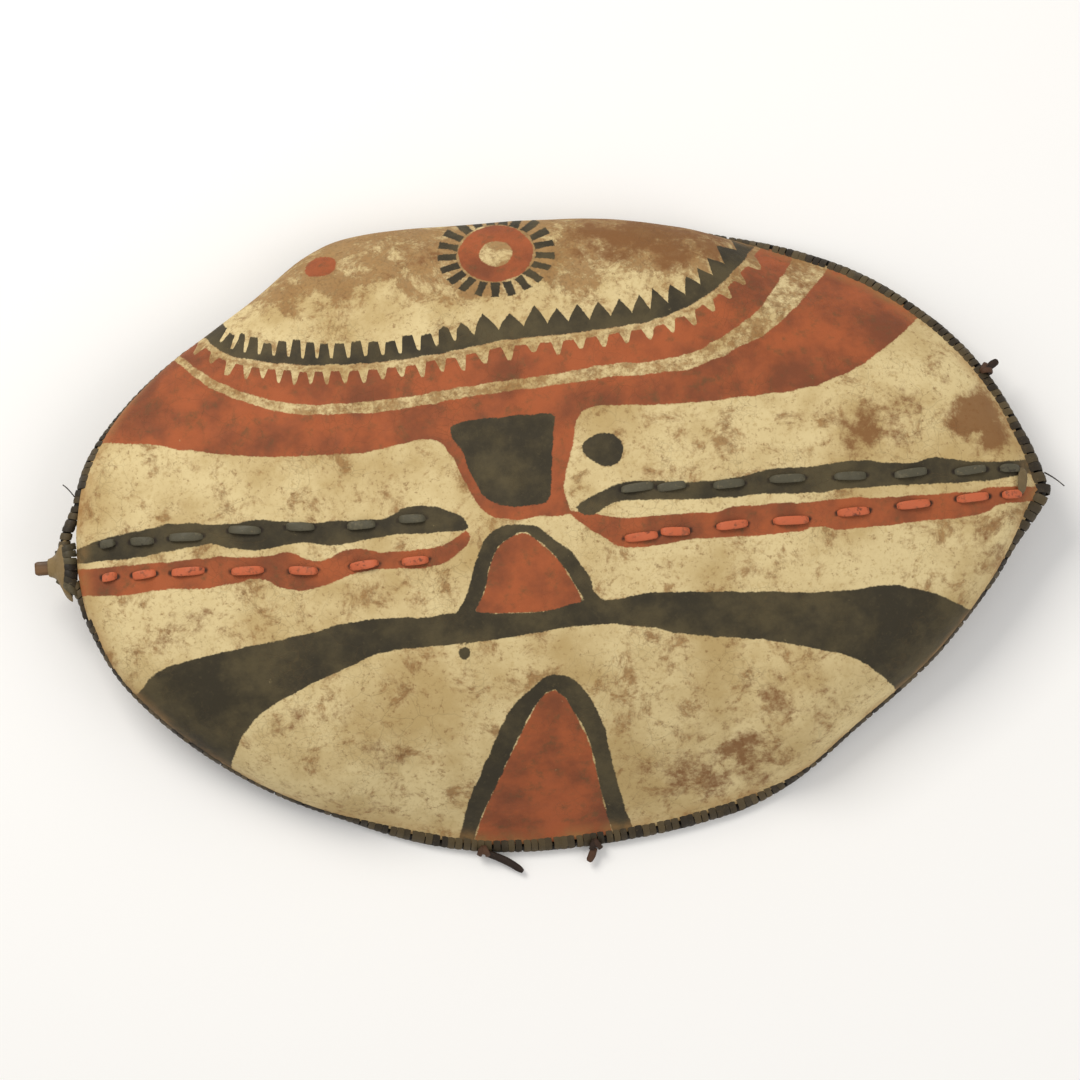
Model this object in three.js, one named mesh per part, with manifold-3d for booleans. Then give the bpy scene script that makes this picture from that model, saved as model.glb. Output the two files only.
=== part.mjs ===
// A painted rawhide shield, lying on its rim with the painted face up.
//
// The body is one moulded hide: a long shell with a pointed tip at +X and a blunt butt end at -X.
// A thong-bound rim runs all the way round its edge. A wooden spine lies along the inside and
// bows away from the hide in the middle, where the hand goes round it. Two rows of thong
// stitches go through the hide and cross behind the spine. Three knotted ties sit on the rim,
// and a rawhide collar holds it to the spine's butt.
//
// Millimetres. +X runs along the spine, +Y across the shield, +Z up. The origin is on the
// floor under the middle of the whole object's box.

import * as THREE from "three";
import { mergeVertices } from "three/addons/utils/BufferGeometryUtils.js";
import Module from "manifold-3d";

const wasm = await Module();
wasm.setup();

// ---- Driving dimensions ---------------------------------------------------------------

const HALF_LENGTH = 481; // of the hide, along the spine
const HIDE_THICKNESS = 5;
const RIDGE_HEIGHT = 150; // top of the hide in the middle, above the floor
const RIDGE_BOW = 55; // how much lower the ridge is at the ends
const RIDGE_SHARE = 0.93; // the ridge line's length as a share of the hide's
const CROWN = 0.64; // how far the flat of the crown reaches towards the edge
const CROWN_FALL = 0.03; // slope of the crown beside the ridge
const WALL = 0.62; // share of the drop that the side wall takes
const LEAST_WALL = 12;

const RIM_RADIUS = 6;
const TIP_RIM_RADIUS = 8.5; // the rim is bound more thickly at the pointed tip
const TIP_RIM_REACH = 0.07; // share of each side over which it thins out
const RIM_RISE = 72; // how far the rim lifts off the floor at the two ends
const RIM_FLAT = 170; // half the length over which the rim lies on the floor
const RIM_CURVE = 1.8;
const BUTT_GAP = 12; // extra room between the hide and the rim round the butt
const BUTT_REACH = 0.045; // share of each side that the extra room takes
const GAP = 0.35; // between pieces that touch
const RIM_GAP = 1; // between the hide's edge and the rim bound to it

const SPINE_THICKNESS = 11;
const BUTT_END = -526; // where the spine's butt ends
const SPINE_TIP = 464;
const BUTT_HALF_WIDTH = 7;
const BUTT_THICKNESS = 10;
const BUTT_FLAT = [-335, -321, -297, -285]; // the middle two bound a flat of the back, free of lacing
const TIP_FLAT = [99, 121, 132];
const GRIP_CENTRE = -36;
const GRIP_HALF = 45; // half the straight part of the grip
const GRIP_RAMP = 52; // length of the curve from the hide to the grip
const GRIP_DROP = 40; // finger room between the hide and the grip
const GRIP_THICKNESS = 25;
const GRIP_HALF_WIDTH = 14;

const THONG_WIDTH = 8.5; // of a stitch on the painted face
const THONG_THICKNESS = 2.4;
const LEG_WIDTH = 5; // where the thong goes through the hide
const STITCH_LIFT = 1.4; // how far a stitch stands up in the middle
const TURN_LIFT = 2.4; // and the thong that turns across the ridge at each end
const TURN_DROP = 1.3; // extra room where the thong turns behind the spine at the butt
const SLACK = 0.9; // between the spine and what passes over or behind it
const REST = 0.8; // between the hide and the thongs that lie on it

// The collar at the butt: place along the spine, half width, and how far it has grown.
const COLLAR = [[-512, 9.6, 0], [-506, 10.4, 0.1], [-501.5, 19, 0.7], [-497, 25, 1], [-490, 31, 1]];

// The line across the shield that the ridge and the spine follow: place along it, and its Y.
const RIDGE_LINE = [[-526, -4], [-360, -7], [-200, -14], [130, -3], [477, 3]];

const STATIONS = 35; // along each side of the hide, tips included
const ROWS = 7; // from the ridge to the edge
const RIM_SIDES = 6;

// The hide's edge seen from above, from the pointed tip to the butt, on the +Y and the -Y side.
const UPPER_EDGE = [
  [477, -6], [462, 51], [435, 112], [393, 170], [324, 229], [238, 270], [141, 299], [40, 313],
  [-80, 315], [-180, 313], [-235, 297], [-296, 251], [-378, 195], [-435, 140], [-467, 88],
  [-479, 36], [-481, 6],
];
const LOWER_EDGE = [
  [477, -6], [452, -47], [420, -95], [360, -161], [279, -223], [210, -271], [119, -299],
  [0, -313], [-110, -310], [-211, -283], [-302, -245], [-381, -191], [-442, -128], [-471, -69],
  [-480, -22], [-481, 6],
];
// Which way the hide points at its edge, in degrees below level, at shares of each side's length.
// Over 90 the edge curls back under the shield.
const UPPER_TURN = [
  [0, 45], [0.1, 45], [0.28, 50], [0.38, 95], [0.5, 104], [0.68, 102], [0.8, 98], [0.86, 95],
  [0.93, 62], [1, 50],
];
const LOWER_TURN = [
  [0, 45], [0.06, 75], [0.12, 86], [0.28, 84], [0.36, 45], [0.5, 42], [0.62, 50], [0.7, 86],
  [0.9, 86], [0.96, 70], [1, 50],
];

// The stitches: middle along the spine, length, and distance of each row from the spine's line.
const BUTT_STITCHES = [
  [-447, 15, 16.5], [-412, 24, 16.5], [-368, 34, 17], [-309, 32, 20], [-254, 28, 21.5],
  [-194, 28, 19.5], [-144, 26, 20.5],
];
const TIP_STITCHES = [
  [77, 33, 24], [110, 29, 22], [166, 31, 20], [224, 35, 20.5], [286, 32, 17.5], [346, 34, 15.5],
  [406, 33, 13.5], [446, 20, 12.5],
];

// The ties on the rim: side, share of the side from the pointed tip, tail length, and the tail's
// direction seen from above, in degrees.
const TIES = [
  { side: "lower", share: 0.566, tail: 38, heading: -33 },
  { side: "lower", share: 0.4755, tail: 12, heading: -118 },
  { side: "upper", share: 0.106, tail: 9, heading: 30 },
];

const COLOURS = {
  hide: 0xcdb684,
  rim: 0x4a3b28,
  spine: 0x6b4c2e,
  thong: 0x54422c,
  tie: 0x3d2b1e,
};

// ---- Curves and tables ------------------------------------------------------------------

const mix = (a, b, t) => a + (b - a) * t;
const clamp01 = (t) => Math.min(1, Math.max(0, t));
const ease = (t) => t * t * (3 - 2 * t);
const radians = (degrees) => (degrees * Math.PI) / 180;

/** Looks a share up in a table of [share, value] pairs, with an eased step between them. */
function lookUp(table, share) {
  const next = Math.max(1, table.findIndex(([at]) => at >= share));
  const [from, low] = table[next - 1];
  const [to, high] = table[next];
  return mix(low, high, ease(clamp01((share - from) / (to - from))));
}

/** Points evenly spaced along the smooth curve through a side's outline. */
function edgeLine(outline) {
  const points = outline.map(([x, y]) => new THREE.Vector3(x, y, 0));
  const curve = new THREE.CatmullRomCurve3(points, false, "catmullrom", 0.5);
  curve.arcLengthDivisions = 2000;
  return curve.getSpacedPoints(STATIONS - 1);
}

/** Height of the rim's lowest line above the floor. */
function rimRise(x) {
  const t = clamp01((Math.abs(x) - RIM_FLAT) / (HALF_LENGTH - RIM_FLAT));
  return RIM_RISE * t ** RIM_CURVE;
}

const ridgeHeight = (x) => RIDGE_HEIGHT - RIDGE_BOW * (x / HALF_LENGTH) ** 2;

/** How far across the shield the ridge and the spine lie. */
const ridgeY = (x) => lookUp(RIDGE_LINE, Math.min(HALF_LENGTH - 4, Math.max(BUTT_END, x)));

const rimRadius = (share) =>
  mix(TIP_RIM_RADIUS, RIM_RADIUS, ease(clamp01(share / TIP_RIM_REACH)));

/**
 * One side of the shield: for each station the hide's edge point, the way out from it, the
 * rim's centre and radius, and the way the hide points at its edge.
 */
function sideOf(outline, turns, sign) {
  const line = edgeLine(outline);
  return line.map((point, i) => {
    const share = i / (STATIONS - 1);
    const before = line[Math.max(0, i - 1)];
    const after = line[Math.min(STATIONS - 1, i + 1)];
    const along = after.clone().sub(before).normalize();
    const out = new THREE.Vector3(along.y, -along.x, 0).multiplyScalar(sign);
    if (i === 0) out.set(1, 0, 0);
    if (i === STATIONS - 1) out.set(-1, 0, 0);
    const turn = radians(lookUp(turns, share));
    const radius = rimRadius(share);
    const reach = radius + RIM_GAP;
    const half = HIDE_THICKNESS / 2;
    const level = RIM_RADIUS + rimRise(point.x);
    const spare = BUTT_GAP * ease(clamp01(1 - (1 - share) / BUTT_REACH));
    const edge = new THREE.Vector3(
      point.x,
      point.y,
      level + Math.sin(turn) * reach + Math.cos(turn) * half,
    );
    const offset = Math.cos(turn) * reach - Math.sin(turn) * half + spare;
    const centre = new THREE.Vector3(point.x, point.y, level).addScaledVector(out, offset);
    return { share, edge, out, turn, radius, centre };
  });
}

const upperSide = sideOf(UPPER_EDGE, UPPER_TURN, 1);
const lowerSide = sideOf(LOWER_EDGE, LOWER_TURN, -1);

/** The curve that the hide's outer face follows from the ridge to the edge at one station. */
function ribOf(station, ridgeX) {
  const top = new THREE.Vector3(ridgeX, ridgeY(ridgeX), ridgeHeight(ridgeX));
  const plan = station.edge.clone().sub(top).setZ(0);
  const drop = top.z - station.edge.z;
  const crown = top.clone().addScaledVector(plan, CROWN);
  crown.z -= CROWN_FALL * CROWN * plan.length();
  const wall = Math.max(LEAST_WALL, WALL * drop);
  const shoulder = station.edge.clone().addScaledVector(station.out, -Math.cos(station.turn) * wall);
  shoulder.z += Math.sin(station.turn) * wall;
  return new THREE.CubicBezierCurve3(top, crown, shoulder, station.edge);
}

// ---- Meshes and booleans ----------------------------------------------------------------

/** A geometry from points and triangles. */
function geometryOf(points, triangles) {
  const geometry = new THREE.BufferGeometry().setFromPoints(points);
  geometry.setIndex(triangles.flat());
  return geometry;
}

/** A manifold-3d solid from a geometry whose surface is closed. */
function solidOf(geometry) {
  const bare = geometry.clone();
  bare.deleteAttribute("normal");
  bare.deleteAttribute("uv");
  const merged = mergeVertices(bare, 1e-4);
  return new wasm.Manifold(
    new wasm.Mesh({
      numProp: 3,
      vertProperties: merged.attributes.position.array,
      triVerts: new Uint32Array(merged.index.array),
    }),
  );
}

/** A geometry from a manifold-3d solid. */
function geometryFrom(solid) {
  const mesh = solid.getMesh();
  const geometry = new THREE.BufferGeometry();
  geometry.setAttribute("position", new THREE.BufferAttribute(mesh.vertProperties, 3));
  geometry.setIndex(new THREE.BufferAttribute(mesh.triVerts, 1));
  return geometry;
}

/** All the solids joined into one. */
const joined = (solids) => solids.reduce((whole, solid) => whole.add(solid));

/** A closed skin through rings of points: each ring has the same number, going round once. */
function skinOf(rings, closed = false) {
  const sides = rings[0].length;
  const points = rings.flat();
  const triangles = [];
  const spans = closed ? rings.length : rings.length - 1;
  for (let i = 0; i < spans; i++) {
    const here = i * sides;
    const there = ((i + 1) % rings.length) * sides;
    for (let j = 0; j < sides; j++) {
      const k = (j + 1) % sides;
      triangles.push([here + j, there + j, there + k], [here + j, there + k, here + k]);
    }
  }
  if (!closed) {
    const last = (rings.length - 1) * sides;
    for (let j = 1; j < sides - 1; j++) {
      triangles.push([0, j, j + 1], [last, last + j + 1, last + j]);
    }
  }
  return geometryOf(points, triangles);
}

// ---- Hide -------------------------------------------------------------------------------

/** The hide's outer face: the ridge line once, then the rows round the whole shield. */
function outerFace() {
  const last = STATIONS - 1;
  const around = 2 * last;
  const ridgeX = upperSide.map(
    (station, i) => (RIDGE_SHARE * (station.edge.x + lowerSide[i].edge.x)) / 2,
  );
  const loop = [...upperSide, ...lowerSide.slice(1, last).reverse()];
  const onRidge = (i) => (i <= last ? i : around - i);
  const ribs = loop.map((station, i) => ribOf(station, ridgeX[onRidge(i)]));
  const points = ridgeX.map((x) => new THREE.Vector3(x, ridgeY(x), ridgeHeight(x)));
  for (let row = 1; row <= ROWS; row++) {
    ribs.forEach((rib) => points.push(rib.getPoint(row / ROWS)));
  }
  const at = (row, i) =>
    row === 0 ? onRidge(i % around) : STATIONS + (row - 1) * around + (i % around);
  const triangles = [];
  for (let row = 0; row < ROWS; row++) {
    for (let i = 0; i < around; i++) {
      const [a, b, c, d] = [at(row, i), at(row, i + 1), at(row + 1, i + 1), at(row + 1, i)];
      triangles.push([a, d, c], [a, c, b]);
    }
  }
  const rim = Array.from({ length: around }, (_, i) => at(ROWS, i));
  return { points, triangles, rim };
}

/** The hide as a closed shell, its inner face set in from the outer one by its thickness. */
function hideShell(face) {
  const outer = geometryOf(face.points, face.triangles);
  outer.computeVertexNormals();
  const normals = outer.getAttribute("normal");
  const inner = face.points.map((point, i) =>
    point.clone().addScaledVector(new THREE.Vector3().fromBufferAttribute(normals, i), -HIDE_THICKNESS),
  );
  const count = face.points.length;
  const triangles = [...face.triangles];
  face.triangles.forEach(([a, b, c]) => triangles.push([a + count, c + count, b + count]));
  face.rim.forEach((a, i) => {
    const b = face.rim[(i + 1) % face.rim.length];
    triangles.push([b, a, a + count], [b, a + count, b + count]);
  });
  return geometryOf([...face.points, ...inner], triangles);
}

const face = outerFace();
const shell = hideShell(face);
const probe = new THREE.Mesh(shell, new THREE.MeshBasicMaterial({ side: THREE.DoubleSide }));
const down = new THREE.Raycaster();

/** Where a plumb line meets the hide: the outer face's height and normal, and the inner height. */
function hideAt(x, y) {
  down.set(new THREE.Vector3(x, y, 2 * RIDGE_HEIGHT), new THREE.Vector3(0, 0, -1));
  const hits = down.intersectObject(probe);
  if (!hits.length) return null;
  return { z: hits[0].point.z, normal: hits[0].face.normal.clone(), inner: hits.at(-1).point.z };
}

// ---- Rim --------------------------------------------------------------------------------

/** The bound rim: one ring of points per station, all the way round. */
function rimSkin() {
  const loop = [...upperSide, ...lowerSide.slice(1, STATIONS - 1).reverse()];
  const rings = loop.map(({ centre, out, radius }) =>
    Array.from({ length: RIM_SIDES }, (_, j) => {
      const angle = (2 * Math.PI * (j + 0.5)) / RIM_SIDES;
      return centre
        .clone()
        .addScaledVector(out, radius * Math.cos(angle))
        .add(new THREE.Vector3(0, 0, radius * Math.sin(angle)));
    }),
  );
  return skinOf(rings, true);
}

// ---- Spine ------------------------------------------------------------------------------

/** How far the grip stands off the hide, as a share, along the spine. */
const gripShare = (x) => ease(clamp01(1 - (Math.abs(x - GRIP_CENTRE) - GRIP_HALF) / GRIP_RAMP));

/** Half the spine's width, narrowing to both ends. */
function spineHalfWidth(x) {
  const ends = x < 0 ? [[-450, 11], [-100, 14.5]] : [[450, 7.5], [100, 15.5]];
  const t = clamp01((x - ends[0][0]) / (ends[1][0] - ends[0][0]));
  const plain = mix(ends[0][1], ends[1][1], t ** 0.8);
  const butt = clamp01((-450 - x) / 36);
  return mix(mix(plain, BUTT_HALF_WIDTH, ease(butt)), GRIP_HALF_WIDTH, gripShare(x));
}

const buttRim = upperSide[STATIONS - 1];
const underRim = buttRim.centre.z - buttRim.radius - SLACK;

/** Height of the spine's top: against the hide, down to the grip, and under the rim at the butt. */
function spineTop(x) {
  const half = spineHalfWidth(x);
  const leave = -438; // where the spine starts down towards the rim
  const under = -484;
  const against = (at) =>
    Math.min(...[-half, 0.5, half].map((y) => hideAt(at, ridgeY(at) + y).inner)) -
    GAP -
    GRIP_DROP * gripShare(at);
  if (x > leave) return against(x);
  return mix(against(leave), underRim, clamp01((leave - x) / (leave - under)));
}

const spineThickness = (x) =>
  mix(x < -450 ? BUTT_THICKNESS : SPINE_THICKNESS, GRIP_THICKNESS, gripShare(x));

/** The spine: an eight-sided section that follows its top line, flat above and below. */
function spineSkin(extra = 0) {
  const stations = [BUTT_END, BUTT_END + 3, -505, -484, -470, -438];
  for (let x = -410; x < -330; x += 40) stations.push(x);
  stations.push(...BUTT_FLAT);
  for (let x = -270; x < -150; x += 40) stations.push(x);
  for (let x = -138; x <= 66; x += 12) stations.push(x);
  stations.push(84, ...TIP_FLAT);
  for (let x = 150; x < SPINE_TIP; x += 50) stations.push(x);
  stations.push(SPINE_TIP);
  const rings = stations.map((x) => {
    const trim = (x === BUTT_END ? 1.5 : 0) - extra;
    const half = spineHalfWidth(x) - trim;
    const top = spineTop(x) - trim;
    const depth = spineThickness(x) - 2 * trim;
    const corner = mix(0.22, 0.32, gripShare(x)) * depth;
    const low = top - depth;
    const outline = [
      [half, low + corner], [half, top - corner], [half - corner, top], [corner - half, top],
      [-half, top - corner], [-half, low + corner], [corner - half, low], [half - corner, low],
    ];
    return outline.map(([y, z]) => new THREE.Vector3(x, ridgeY(x) + y, z));
  });
  return skinOf(rings.map((ring) => ring.reverse()));
}

const spineUnder = (x) => spineTop(x) - spineThickness(x);

// ---- Lacing -----------------------------------------------------------------------------

/** A bar of rectangular section between two points, its width along a given direction. */
function bar(from, to, widthWay, width, thickness) {
  const along = to.clone().sub(from).normalize();
  const side = widthWay.clone().addScaledVector(along, -widthWay.dot(along)).normalize();
  const up = new THREE.Vector3().crossVectors(along, side);
  const ring = (centre) =>
    [[1, 1], [1, -1], [-1, -1], [-1, 1]].map(([s, u]) =>
      centre
        .clone()
        .addScaledVector(side, (s * width) / 2)
        .addScaledVector(up, (u * thickness) / 2),
    );
  return solidOf(skinOf([ring(from), ring(to)]));
}

/** The four corners of one stitch: both holes, on the hide and under the spine. */
function stitchFrame(middle, length, row, sign) {
  const ends = [middle - length / 2, middle + length / 2].map((x) => {
    const y = ridgeY(x) + sign * row;
    const hit = hideAt(x, y);
    const top = new THREE.Vector3(x, y, hit.z).addScaledVector(
      hit.normal,
      THONG_THICKNESS / 2 + REST,
    );
    const foot = new THREE.Vector3(x, y, spineUnder(x) - THONG_THICKNESS / 2 - SLACK);
    return { top, foot };
  });
  const y = ridgeY(middle) + sign * row;
  const hit = hideAt(middle, y);
  const crest = new THREE.Vector3(middle, y, hit.z).addScaledVector(
    hit.normal,
    THONG_THICKNESS / 2 + REST + STITCH_LIFT,
  );
  return { ends, crest, across: new THREE.Vector3(0, hit.normal.z, -hit.normal.y) };
}

/** A flat thong along a bent line, mitred at each bend, its width along one given direction. */
function thong(line, widths, widthWay) {
  const rings = line.map((centre, i) => {
    const before = centre.clone().sub(line[Math.max(0, i - 1)]).normalize();
    const after = line[Math.min(line.length - 1, i + 1)].clone().sub(centre).normalize();
    const along = before.clone().add(after).normalize();
    const slant = i === 0 || i === line.length - 1 ? 1 : along.dot(after);
    const side = widthWay.clone().addScaledVector(along, -widthWay.dot(along)).normalize();
    const up = new THREE.Vector3().crossVectors(along, side);
    return [[1, 1], [1, -1], [-1, -1], [-1, 1]].map(([s, u]) =>
      centre
        .clone()
        .addScaledVector(side, (s * widths[i]) / 2)
        .addScaledVector(up, (u * THONG_THICKNESS) / 2 / slant),
    );
  });
  return solidOf(skinOf(rings));
}

/** One stitch: up through the hide, along its painted face, and down again. */
function stitch({ ends, crest, across }) {
  const [a, b] = ends;
  const below = new THREE.Vector3(0, 0, -THONG_THICKNESS / 2);
  const line = [a.foot.clone().add(below), a.top, crest, b.top, b.foot.clone().add(below)];
  return thong(line, [LEG_WIDTH, LEG_WIDTH, THONG_WIDTH, LEG_WIDTH, LEG_WIDTH], across);
}

/** One half's lacing: stitches in two rows, crossed behind the spine, turned at the end. */
function lacingOf(stitches, atButt) {
  const rows = [1, -1].map((sign) =>
    stitches.map(([middle, length, row]) => stitchFrame(middle, length, row, sign)),
  );
  const parts = rows.flat().map(stitch);
  const flat = new THREE.Vector3(0, 1, 0);
  for (let i = 0; i < stitches.length - 1; i++) {
    for (const [from, to] of [[0, 1], [1, 0]]) {
      const start = rows[from][i].ends[1].foot;
      const end = rows[to][i + 1].ends[0].foot;
      parts.push(bar(start, end, flat, LEG_WIDTH, THONG_THICKNESS));
    }
  }
  // At the pointed tip the thong turns across the ridge, and at the butt behind the spine.
  const outermost = atButt ? 0 : stitches.length - 1;
  const [start, end] = rows.map((row) => row[outermost].ends[atButt ? 0 : 1]);
  if (atButt) {
    const [near, far] = [start.foot, end.foot].map((foot) => foot.clone().setZ(foot.z - TURN_DROP));
    parts.push(bar(near, far, new THREE.Vector3(1, 0, 0), LEG_WIDTH, THONG_THICKNESS));
  } else {
    const x = start.top.x;
    const hump = hideAt(x, ridgeY(x) + 0.5).z + THONG_THICKNESS / 2 + REST + TURN_LIFT;
    const [near, far] = [-5, 5].map((step) => hideAt(x + step, ridgeY(x) + 0.5).z);
    const alongSpine = new THREE.Vector3(10, 0, far - near).normalize();
    const turn = [start.top, new THREE.Vector3(x, ridgeY(x), hump), end.top].map((point) =>
      point.clone().setZ(point.z + 0.6),
    );
    parts.push(thong(turn, [LEG_WIDTH, THONG_WIDTH, LEG_WIDTH], alongSpine));
  }
  return joined(parts).simplify(0.12);
}

/** A slot through the hide for each leg of each stitch, a little larger than the leg. */
function slots(stitches) {
  return stitches.flatMap(([middle, length, row]) =>
    [1, -1].flatMap((sign) => {
      const { ends, across } = stitchFrame(middle, length, row, sign);
      return ends.map(({ top, foot }) => {
        const way = foot.clone().sub(top).normalize();
        const high = top.clone().addScaledVector(way, -HIDE_THICKNESS);
        const low = top.clone().addScaledVector(way, 3 * HIDE_THICKNESS);
        return bar(high, low, across, LEG_WIDTH + 2 * GAP, THONG_THICKNESS + 2 * GAP);
      });
    }),
  );
}

// ---- Ties and collar --------------------------------------------------------------------

/** The rim's own solid, made a little fatter, to cut what sits on it. */
function fatRim() {
  const loop = [...upperSide, ...lowerSide.slice(1, STATIONS - 1).reverse()];
  const rings = loop.map(({ centre, out, radius }) =>
    Array.from({ length: RIM_SIDES }, (_, j) => {
      const angle = (2 * Math.PI * (j + 0.5)) / RIM_SIDES;
      const reach = radius + GAP;
      return centre
        .clone()
        .addScaledVector(out, reach * Math.cos(angle))
        .add(new THREE.Vector3(0, 0, reach * Math.sin(angle)));
    }),
  );
  return solidOf(skinOf(rings, true));
}

/** The station at a share of a side, with its point between the two nearest stations. */
function rimPlace(side, share) {
  const stations = side === "upper" ? upperSide : lowerSide;
  const index = share * (STATIONS - 1);
  const [a, b] = [stations[Math.floor(index)], stations[Math.ceil(index)]];
  const t = index - Math.floor(index);
  return {
    centre: a.centre.clone().lerp(b.centre, t),
    out: a.out.clone().lerp(b.out, t).normalize(),
    radius: mix(a.radius, b.radius, t),
  };
}

/** A knot on the outside of the rim with a tail of dried thong. */
function tieOf({ side, share, tail, heading }, cutter) {
  const { centre, out, radius } = rimPlace(side, share);
  const knotRadius = 6.5;
  const knot = new THREE.SphereGeometry(knotRadius, 8, 5);
  const middle = centre.clone().addScaledVector(out, radius * 0.75);
  middle.z += radius * 0.75;
  knot.translate(middle.x, middle.y, middle.z);
  const way = new THREE.Vector3(Math.cos(radians(heading)), Math.sin(radians(heading)), -0.12);
  const end = middle.clone().addScaledVector(way, knotRadius + tail);
  const rod = bar(middle, end, new THREE.Vector3(0, 0, 1), 5, 6);
  return solidOf(knot).add(rod).subtract(cutter);
}

/** A rawhide collar: it fans out from the spine's butt and grips the rim on both sides of it. */
function buttCollar(cutter, spineCutter) {
  const { centre } = buttRim;
  const spineMiddle = spineUnder(BUTT_END + 10) + BUTT_THICKNESS / 2;
  const rings = COLLAR.map(([x, halfWidth, share]) => {
    const z = mix(spineMiddle, centre.z - 5, share);
    const halfHeight = mix(BUTT_THICKNESS / 2 + 2.6, RIM_RADIUS + 8, share);
    return Array.from({ length: 12 }, (_, j) => {
      const angle = (-2 * Math.PI * (j + 0.5)) / 12;
      const rounded = (value) => Math.sign(value) * Math.abs(value) ** 0.7;
      return new THREE.Vector3(
        x,
        ridgeY(x) + halfWidth * rounded(Math.cos(angle)),
        z + halfHeight * rounded(Math.sin(angle)),
      );
    });
  });
  return solidOf(skinOf(rings)).subtract(cutter).subtract(spineCutter);
}

// ---- Assembly ---------------------------------------------------------------------------

/** A named mesh in the part's group. */
function piece(name, geometry, colour, roughness) {
  const material = new THREE.MeshStandardMaterial({ color: colour, roughness, metalness: 0 });
  const mesh = new THREE.Mesh(geometry, material);
  mesh.name = name;
  return mesh;
}

const cutter = fatRim();
const spineCutter = solidOf(spineSkin(GAP));
const hideSolid = solidOf(shell).subtract(
  joined([...slots(BUTT_STITCHES), ...slots(TIP_STITCHES)]),
);

const shield = new THREE.Group();
shield.add(
  piece("hide", geometryFrom(hideSolid), COLOURS.hide, 0.8),
  piece("rim", rimSkin(), COLOURS.rim, 0.85),
  piece("spine", spineSkin(), COLOURS.spine, 0.75),
  piece("lacing_butt", geometryFrom(lacingOf(BUTT_STITCHES, true)), COLOURS.thong, 0.8),
  piece("lacing_tip", geometryFrom(lacingOf(TIP_STITCHES, false)), COLOURS.thong, 0.8),
  piece("butt_collar", geometryFrom(buttCollar(cutter, spineCutter)), COLOURS.rim, 0.85),
);
TIES.forEach((tie, i) => {
  shield.add(piece(`rim_tie_${i + 1}`, geometryFrom(tieOf(tie, cutter)), COLOURS.tie, 0.85));
});

// The origin goes to the floor under the middle of the whole object's box.
const box = new THREE.Box3().setFromObject(shield);
const middle = box.getCenter(new THREE.Vector3());
shield.children.forEach((mesh) => mesh.geometry.translate(-middle.x, -middle.y, -box.min.z));

export default shield;
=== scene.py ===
"""Looks of a painted hide shield: moulded hide, bound rim, wooden spine, lacing, collar and ties.

Every piece is made in the part's own frame. Sizes are in millimetres in the classes and become
metres where a mesh is written.
"""

import logging
import math
from dataclasses import dataclass, field
from enum import Enum

import bpy
import numpy as np
from mathutils import Matrix, Vector, noise

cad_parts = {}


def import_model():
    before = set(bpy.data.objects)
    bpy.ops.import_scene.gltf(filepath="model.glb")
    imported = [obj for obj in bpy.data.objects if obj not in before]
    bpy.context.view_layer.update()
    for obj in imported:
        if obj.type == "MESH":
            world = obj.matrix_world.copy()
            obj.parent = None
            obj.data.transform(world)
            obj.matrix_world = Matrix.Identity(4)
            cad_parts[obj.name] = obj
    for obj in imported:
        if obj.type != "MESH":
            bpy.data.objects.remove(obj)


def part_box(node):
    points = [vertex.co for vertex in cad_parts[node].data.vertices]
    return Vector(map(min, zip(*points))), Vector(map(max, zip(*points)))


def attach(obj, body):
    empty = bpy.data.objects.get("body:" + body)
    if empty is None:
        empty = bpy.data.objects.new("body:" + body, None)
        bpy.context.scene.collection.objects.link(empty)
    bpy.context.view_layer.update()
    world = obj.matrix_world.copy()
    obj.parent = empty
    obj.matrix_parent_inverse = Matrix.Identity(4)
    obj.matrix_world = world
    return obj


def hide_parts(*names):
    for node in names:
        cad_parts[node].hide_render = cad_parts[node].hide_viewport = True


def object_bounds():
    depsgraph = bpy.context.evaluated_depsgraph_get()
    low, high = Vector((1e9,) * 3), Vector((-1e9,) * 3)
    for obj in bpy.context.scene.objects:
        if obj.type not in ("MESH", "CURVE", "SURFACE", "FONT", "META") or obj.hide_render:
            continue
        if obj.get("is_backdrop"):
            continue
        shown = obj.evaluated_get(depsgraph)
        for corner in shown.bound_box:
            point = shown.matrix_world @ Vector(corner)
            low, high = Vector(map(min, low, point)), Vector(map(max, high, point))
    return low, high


LOG = logging.getLogger("shield")
MM = 0.001
BUTT_END = -526.0  # the spine's butt end, on the axis through the middle of the hide
SEED = 11


class Side(Enum):
    """The two sides of the shield, by the sign of Y."""

    UPPER = 1
    LOWER = -1


class Half(Enum):
    """The two rows of stitches, either side of the grip."""

    BUTT = "butt"
    TIP = "tip"


# ---- Small sums ---------------------------------------------------------------------------


def mix(a: float, b: float, t: float) -> float:
    """Goes from a to b as t goes from 0 to 1."""
    return a + (b - a) * t


def ease(t: np.ndarray) -> np.ndarray:
    """Eased step, clamped to 0 and 1."""
    t = np.clip(t, 0.0, 1.0)
    return t * t * (3.0 - 2.0 * t)


def look_up(table: tuple, share: np.ndarray) -> np.ndarray:
    """Looks shares up in pairs of share and value, with an eased step between them."""
    share = np.asarray(share, float)
    out = np.full(share.shape, float(table[-1][1]))
    for (low, start), (high, end) in zip(table[:-1], table[1:]):
        inside = (share >= low) & (share <= high)
        out[inside] = start + (end - start) * ease((share[inside] - low) / (high - low))
    return out


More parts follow.
